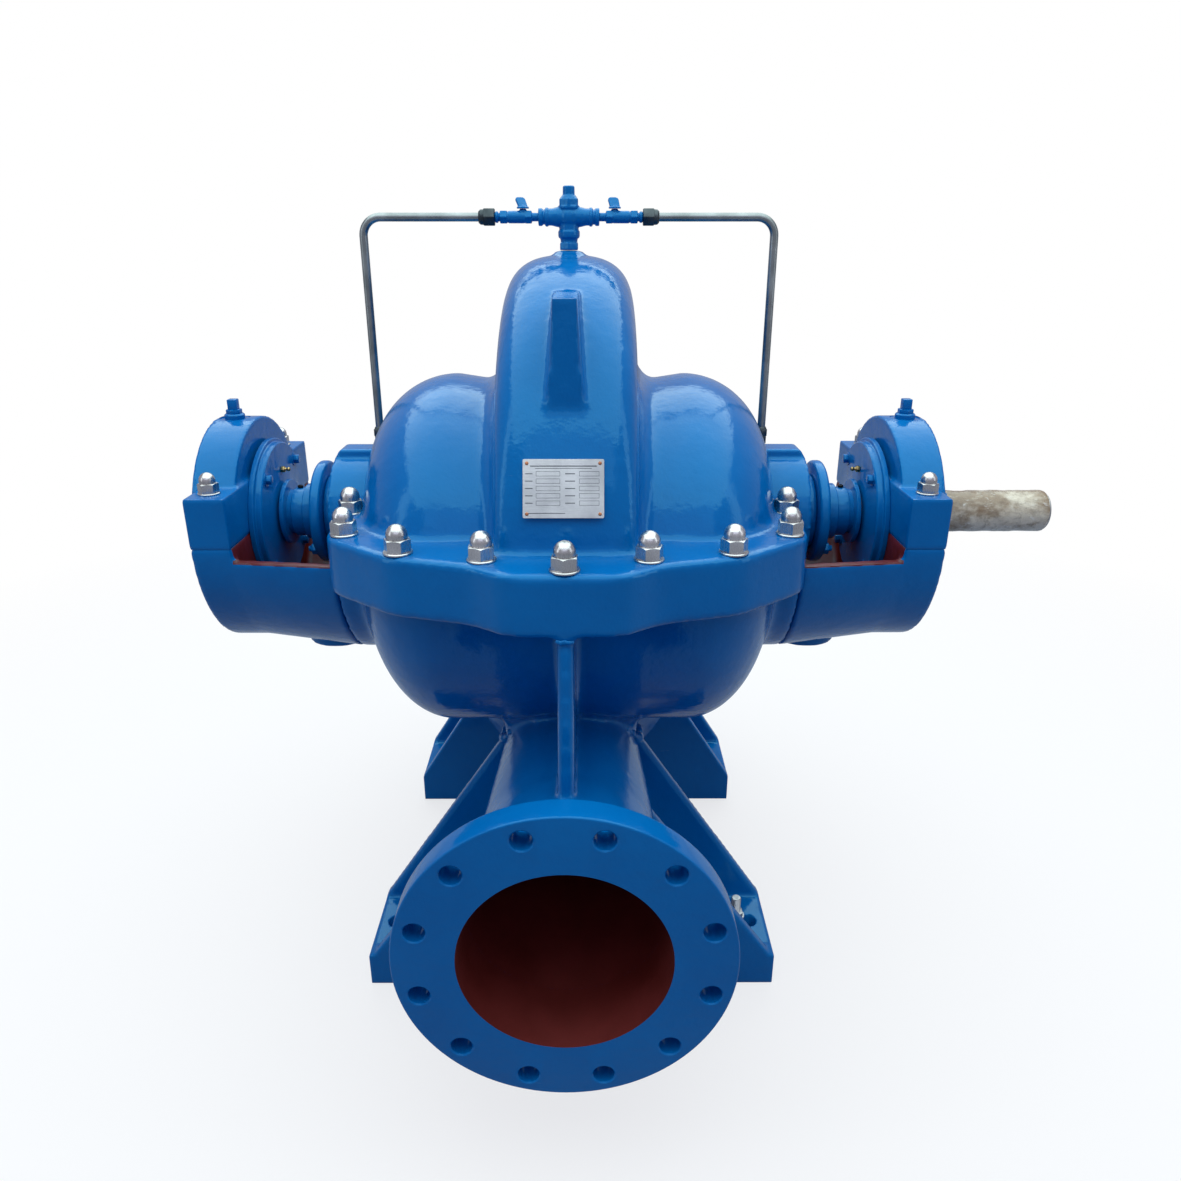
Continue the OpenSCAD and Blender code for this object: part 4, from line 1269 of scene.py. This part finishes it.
def buildNameplate():
    p = plate
    half, tall = p["wide"] / 2, p["high"] / 2
    bm = bmesh.new()
    verts = addBox(bm, (-half, -tall, 0), (half, tall, p["thick"]))
    edges = {edge for vert in verts for edge in vert.link_edges}
    corners = [edge for edge in edges if abs(edge.verts[0].co.z - edge.verts[1].co.z) > 0.0005]
    bmesh.ops.bevel(
        bm, geom=corners, offset=p["corner"], segments=4, profile=0.5, affect="EDGES", material=-1
    )
    bmesh.ops.transform(bm, matrix=plateMatrix(), verts=bm.verts)
    item = makeObject("nameplateSheet", bm, plateMetal)
    softenEdges(item, 0.0003)
    seat(item, "pump", "brushed_plate", "nameplate")
    rivets = bmesh.new()
    for x in (-half + p["rivetIn"], half - p["rivetIn"]):
        for y in (-tall + p["rivetIn"], tall - p["rivetIn"]):
            addTurned(rivets, [
                (p["thick"] - 0.0002, 0), (p["thick"] - 0.0002, 0.0022), (p["thick"] + 0.0003, 0.0022),
                (p["thick"] + 0.0009, 0.0015), (p["thick"] + 0.0011, 0),
            ], (x, y, 0), (0, 0, 1), 24)
    bmesh.ops.transform(rivets, matrix=plateMatrix(), verts=rivets.verts)
    seat(makeObject("nameplateRivets", rivets, copper), "pump", "dark_fitting")
    marks = bmesh.new()
    low, high = p["thick"] - 0.0001, p["thick"] + 0.00012
    addBox(marks, (-0.040, 0.0265, low), (0.040, 0.0277, high))
    addBox(marks, (-0.034, 0.0240, low), (0.034, 0.0246, high))
    for row in range(p["rows"]):
        y = 0.0150 - row * p["rowPitch"]
        addFrame(marks, -0.033, y, -0.004, y + p["boxHigh"], p["line"], low, high)
        addFrame(marks, 0.019, y, 0.043, y + p["boxHigh"], p["line"], low, high)
        addBox(marks, (-0.046, y + 0.0024, low), (-0.037, y + 0.0034, high))
        addBox(marks, (0.002, y + 0.0024, low), (0.014, y + 0.0034, high))
    addBox(marks, (-0.044, -0.0300, low), (0.002, -0.0292, high))
    bmesh.ops.transform(marks, matrix=plateMatrix(), verts=marks.verts)
    seat(makeObject("nameplateLines", marks, darkFitting), "pump", "dark_fitting")


buildNameplate()
print("nameplate built")

# flush line

flush = {
    "tube": 0.006, "tubeX": 0.298, "bend": 0.026, "nutIn": 0.107, "nutOut": 0.130, "leverX": 0.066,
    "rise": 0.4323, "padTop": 0.1035, "tubeFoot": 0.026,
    "rightTurn": 20, "leftTurn": -38, "tabRise": 55,
}


def buildCross():
    # malleable cross with beaded ends, a hexagon nipple under it and a plug on top
    bm = bmesh.new()
    arm = [
        (-0.044, 0), (-0.044, 0.0106), (-0.0434, 0.0120), (-0.0384, 0.0120), (-0.0374, 0.0100),
        (-0.0346, 0.0100), (-0.0338, 0.0126), (-0.0306, 0.0130), (-0.0294, 0.0114), (-0.024, 0.0116),
        (-0.017, 0.0134),
    ]
    addTurned(bm, arm + [(-x, r) for x, r in reversed(arm)], (0, 0, 0), (1, 0, 0), 48)
    addTurned(bm, [
        (-0.044, 0), (-0.044, 0.0125), (-0.0315, 0.0122), (-0.0285, 0.0130), (-0.0278, 0.0150),
        (-0.0250, 0.0157), (-0.0195, 0.0157), (-0.017, 0.0140), (0.0108, 0.0140), (0.0115, 0.0152),
        (0.0148, 0.0152), (0.0152, 0.0135), (0.0152, 0),
    ], (0, 0, 0), (0, 0, 1), 48)
    bmesh.ops.create_uvsphere(bm, u_segments=32, v_segments=16, radius=0.0168)
    addHexHead(bm, (0, 0, -0.0446), (0, 0, 1), 0.026, 0.0102)
    addHexHead(bm, (0, 0, 0.0150), (0, 0, 1), 0.0268, 0.0098)
    addTurned(bm, [
        (0.020, 0), (0.0245, 0.0126), (0.0262, 0.0118), (0.0302, 0.0084), (0.0312, 0.0086), (0.0402, 0.0084),
        (0.0416, 0.0068), (0.0416, 0),
    ], (0, 0, 0), (0, 0, 1), 32)
    item = makeObject("crossFitting", bm, enamel)
    castOver(item, 0.0009, 2)
    return seat(item, "pump", "blue_enamel", "cross_fitting", origin=flushAxis, crease=1.0)


def buildValve(name, node, side):
    # slim ball valve: two hexagon ends on a round body, with its stem on top
    bm = bmesh.new()
    addTurned(bm, [
        (0.044, 0), (0.044, 0.0058), (0.0535, 0.0058), (0.0535, 0.0070), (0.0630, 0.0080), (0.0650, 0.0085),
        (0.0860, 0.0085), (0.0885, 0.0072), (0.0990, 0.0070), (0.0995, 0.0058), (0.1015, 0.0056),
        (0.1022, 0.0078), (0.1056, 0.0078), (0.1062, 0.0062), (0.1072, 0.0062), (0.1072, 0),
    ], (0, 0, 0), (1, 0, 0), 40)
    addHexHead(bm, (0.0535, 0, 0), (1, 0, 0), 0.0172, 0.0095)
    addHexHead(bm, (0.0892, 0, 0), (1, 0, 0), 0.0172, 0.0098)
    x = flush["leverX"]
    addTurned(bm, [
        (0.004, 0), (0.004, 0.0062), (0.0088, 0.0060), (0.0094, 0.0048), (0.0110, 0.0048), (0.0110, 0),
    ], (x, 0, 0), (0, 0, 1), 32)
    toSide(bm, side)
    item = makeObject(name, bm, enamel)
    castOver(item, 0.0007, 2)
    return seat(item, "pump", "blue_enamel", node, origin=flushAxis, crease=1.0)


def buildLever(name, node, body, side):
    # a short wing handle: a hub and a wide tab that rises towards the suction side
    bm = bmesh.new()
    x, z = flush["leverX"], 0.0113
    addTurned(bm, [
        (0, 0), (0, 0.0088), (0.0020, 0.0088), (0.0026, 0.0080), (0.0026, 0),
    ], (x, 0, z), (0, 0, 1), 32)
    addTurned(bm, [(0.0020, 0), (0.0020, 0.0040), (0.0042, 0.0036), (0.0046, 0)], (x, 0, z), (0, 0, 1), 24)
    outline = [
        (-0.0074, 0.0006), (0.0074, 0.0006), (0.0080, 0.0130), (0.0068, 0.0158), (0.0040, 0.0168),
        (-0.0040, 0.0168), (-0.0068, 0.0158), (-0.0080, 0.0130),
    ]
    tab = addSlab(bm, [(wide, along, 0) for wide, along in outline], (0, 0, 0.0033))
    turn = Matrix.Rotation(math.radians(flush["rightTurn"] if side > 0 else flush["leftTurn"]), 4, "Z")
    lean = Matrix.Translation((x, 0, z)) @ turn @ Matrix.Rotation(math.radians(flush["tabRise"]), 4, "X")
    bmesh.ops.transform(bm, matrix=lean, verts=tab)
    toSide(bm, side)
    item = makeObject(name, bm, enamel)
    castOver(item, 0.0006, 2)
    return seat(item, body, "blue_enamel", node, origin=flushAxis, crease=1.0)


def buildTubeNut(name, node, side):
    bm = bmesh.new()
    addHexHead(bm, (flush["nutIn"], 0, 0), (1, 0, 0), 0.0232, 0.0155)
    addTurned(bm, [
        (0.120, 0), (0.120, 0.0108), (0.1275, 0.0102), (0.130, 0.0080), (0.130, 0),
    ], (0, 0, 0), (1, 0, 0), 40)
    toSide(bm, side)
    item = makeObject(name, bm, darkFitting)
    return seat(item, "pump", "dark_fitting", node, origin=flushAxis)


def buildTube(name, node, side):
    f = flush
    bm = bmesh.new()
    start = Vector((f["nutOut"], 0, 0))
    matrix = Matrix.Translation(start) @ Matrix.Rotation(math.radians(90), 4, "Y")
    ring = bmesh.ops.create_circle(bm, cap_ends=True, segments=28, radius=f["tube"], matrix=matrix)
    face = ring["verts"][0].link_faces[0]

    def pushed(face, vec):
        out = bmesh.ops.extrude_face_region(bm, geom=[face])["geom"]
        bmesh.ops.translate(bm, vec=vec, verts=[item for item in out if isinstance(item, bmesh.types.BMVert)])
        return [item for item in out if isinstance(item, bmesh.types.BMFace)][0]

    run = f["tubeX"] - f["bend"] - f["nutOut"]
    for step in range(4):
        face = pushed(face, Vector((run / 4, 0, 0)))
    geom = [face] + list(face.edges) + list(face.verts)
    spun = bmesh.ops.spin(
        bm, geom=geom, cent=(f["tubeX"] - f["bend"], 0, -f["bend"]), axis=(0, 1, 0), angle=math.pi / 2,
        steps=14,
    )
    face = [item for item in spun["geom_last"] if isinstance(item, bmesh.types.BMFace)][0]
    drop = f["rise"] - f["bend"] - f["padTop"] - f["tubeFoot"]
    for step in range(6):
        face = pushed(face, Vector((0, 0, -drop / 6)))
    toSide(bm, side)
    item = makeObject(name, bm, tubeSteel)
    return seat(item, "pump", "tube_steel", node, origin=flushAxis)


def buildTubeFitting(name, node, side):
    bm = bmesh.new()
    base = Vector((flush["tubeX"], 0, flush["padTop"] - flush["rise"]))
    addHexHead(bm, base, (0, 0, 1), 0.0156, 0.012)
    addHexHead(bm, base + Vector((0, 0, 0.012)), (0, 0, 1), 0.0172, 0.011)
    addTurned(bm, [
        (0.022, 0), (0.022, 0.0082), (0.0245, 0.0077), (0.026, 0.0068), (0.026, 0),
    ], base, (0, 0, 1), 40)
    toSide(bm, side)
    item = makeObject(name, bm, darkFitting)
    return seat(item, "pump", "dark_fitting", node, origin=flushAxis)


buildCross()
for side, word in ((-1, "left"), (1, "right")):
    buildValve(word + "Valve", word + "_valve_body", side)
    buildLever(word + "Lever", word + "_valve_lever", word + "_lever", side)
    buildTubeNut(word + "TubeNut", word + "_tube_nut", side)
    buildTube(word + "Tube", word + "_flush_tube", side)
    buildTubeFitting(word + "TubeFitting", word + "_tube_fitting", side)
print("flush line built")

# loose bolt on the front right foot

bolt = {"x": 0.279, "y": -0.250, "washer": 0.0155, "flats": 0.024, "thread": 0.0082}


def buildFootBolt():
    b = bolt
    place = Vector((b["x"], b["y"], foot["padThick"] + 0.0002))
    bm = bmesh.new()
    addTurned(bm, [
        (0, 0), (0, b["washer"] - 0.0004), (0.0004, b["washer"]), (0.0016, b["washer"]),
        (0.002, b["washer"] - 0.0005), (0.002, 0),
    ], place, (0, 0, 1), 40)
    addHexHead(bm, place + Vector((0, 0, 0.002)), (0, 0, 1), b["flats"], 0.0078)
    thread = [(0.0095, 0)]
    for turn in range(18):
        thread += [(0.010 + turn * 0.0015, b["thread"]), (0.01075 + turn * 0.0015, b["thread"] - 0.0007)]
    thread += [(0.0372, b["thread"] - 0.0012), (0.0376, 0)]
    addTurned(bm, thread, place, (0, 0, 1), 28)
    item = makeObject("looseBolt", bm, zinc)
    return seat(item, "pump", "stainless_nut", "foot_bolt", origin=Vector())


buildFootBolt()

# looks of the carried-over nodes

nodeLooks = {
    "left_bearing": bearingSteel, "right_bearing": bearingSteel, "gland_studs": zinc, "foot_bolt": zinc,
    "nameplate": plateMetal, "left_tube_nut": darkFitting, "right_tube_nut": darkFitting,
    "left_flush_tube": tubeSteel, "right_flush_tube": tubeSteel, "left_tube_fitting": darkFitting,
    "right_tube_fitting": darkFitting, "shaft": shaftSteel,
    "left_bearing_bracket": troughEnamel, "right_bearing_bracket": troughEnamel,
}
for name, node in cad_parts.items():
    node.data.materials.clear()
    node.data.materials.append(nodeLooks.get(name, enamel))

# stage, light and camera

stageSize = {"floorHalf": 14, "fadeFrom": 1.3, "fadeTo": 2.6}


def makeFloorLook():
    material = bpy.data.materials.new("paleFloor")
    material.use_nodes = True
    tree = material.node_tree
    tree.nodes.clear()
    coords = tree.nodes.new("ShaderNodeTexCoord").outputs["Object"]
    diffuse = tree.nodes.new("ShaderNodeBsdfDiffuse")
    white = tree.nodes.new("ShaderNodeEmission")
    white.inputs["Strength"].default_value = 1
    seen = tree.nodes.new("ShaderNodeLightPath")
    rays = calc(tree, "MAXIMUM", seen.outputs["Is Camera Ray"], seen.outputs["Is Transmission Ray"])
    rays = calc(tree, "MAXIMUM", rays, calc(tree, "MULTIPLY", seen.outputs["Is Glossy Ray"], 0.2))
    tone = blendColours(tree, seen.outputs["Is Camera Ray"], (0.24, 0.27, 0.34, 1), (0.98, 0.90, 0.89, 1))
    link(tree, tone, diffuse.inputs["Color"])
    length = tree.nodes.new("ShaderNodeVectorMath")
    length.operation = "LENGTH"
    link(tree, coords, length.inputs[0])
    fade = spread(tree, length.outputs["Value"], stageSize["fadeFrom"], stageSize["fadeTo"], 0.7, 1)
    blend = tree.nodes.new("ShaderNodeMixShader")
    link(tree, calc(tree, "MULTIPLY", fade, rays), blend.inputs[0])
    link(tree, diffuse.outputs[0], blend.inputs[1])
    link(tree, white.outputs[0], blend.inputs[2])
    output = tree.nodes.new("ShaderNodeOutputMaterial")
    link(tree, blend.outputs[0], output.inputs["Surface"])
    return material


floorBm = bmesh.new()
bmesh.ops.create_grid(floorBm, x_segments=8, y_segments=8, size=stageSize["floorHalf"])
floor = makeObject("studioFloor", floorBm, makeFloorLook())

world = bpy.data.worlds.new("studioWorld")
world.use_nodes = True
scene.world = world
worldTree = world.node_tree
background = worldTree.nodes["Background"]
background.inputs["Color"].default_value = (0.48, 0.56, 1, 1)
background.inputs["Strength"].default_value = 0.26
whiteBack = worldTree.nodes.new("ShaderNodeBackground")
whiteBack.inputs["Color"].default_value = (1, 1, 1, 1)
whiteBack.inputs["Strength"].default_value = 1
rays = worldTree.nodes.new("ShaderNodeLightPath").outputs
seenRays = calc(worldTree, "MAXIMUM", rays["Is Camera Ray"], rays["Is Transmission Ray"])
seenRays = calc(worldTree, "MAXIMUM", seenRays, calc(worldTree, "MULTIPLY", rays["Is Glossy Ray"], 0.3))
worldMix = worldTree.nodes.new("ShaderNodeMixShader")
link(worldTree, seenRays, worldMix.inputs[0])
link(worldTree, background.outputs[0], worldMix.inputs[1])
link(worldTree, whiteBack.outputs[0], worldMix.inputs[2])
link(worldTree, worldMix.outputs[0], worldTree.nodes["World Output"].inputs["Surface"])

lamps = {
    "overhead": ((0, 0.8, 3.3), (0, 0.8, 0), (5.0, 7.0), 215, (0.82, 1, 0.98)),
    "frontSky": ((0.2, -3.6, 3.0), (0, 0, 0.8), (3.6, 1.6), 15, (0.72, 0.78, 1)),
    "leftStrip": ((-2.6, -1.4, 1.9), (0, 0, 0.75), (0.7, 2.4), 9, (0.85, 0.95, 1)),
    "rightStrip": ((2.6, -1.2, 1.9), (0, 0, 0.75), (0.7, 2.4), 8, (0.85, 0.95, 1)),
}
for name, (place, target, size, watts, colour) in lamps.items():
    data = bpy.data.lights.new(name, "AREA")
    data.shape = "RECTANGLE"
    data.size, data.size_y = size
    data.energy = watts
    data.color = colour
    lamp = bpy.data.objects.new(name, data)
    lamp.location = place
    lamp.rotation_euler = (Vector(target) - Vector(place)).to_track_quat("-Z", "Y").to_euler()
    scene.collection.objects.link(lamp)

# fitted to the photograph
standpoint = {"place": (0.0277, -1.5028, 1.1445), "down": 21.28, "turn": -0.14, "lens": 27.72, "sensor": 36}
cameraData = bpy.data.cameras.new("photoCamera")
cameraData.lens = standpoint["lens"]
cameraData.sensor_width = standpoint["sensor"]
camera = bpy.data.objects.new("photoCamera", cameraData)
camera.location = standpoint["place"]
camera.rotation_euler = (math.radians(90 - standpoint["down"]), 0, math.radians(standpoint["turn"]))
scene.collection.objects.link(camera)
scene.camera = camera

scene.view_settings.view_transform = "Standard"

print("stage set")
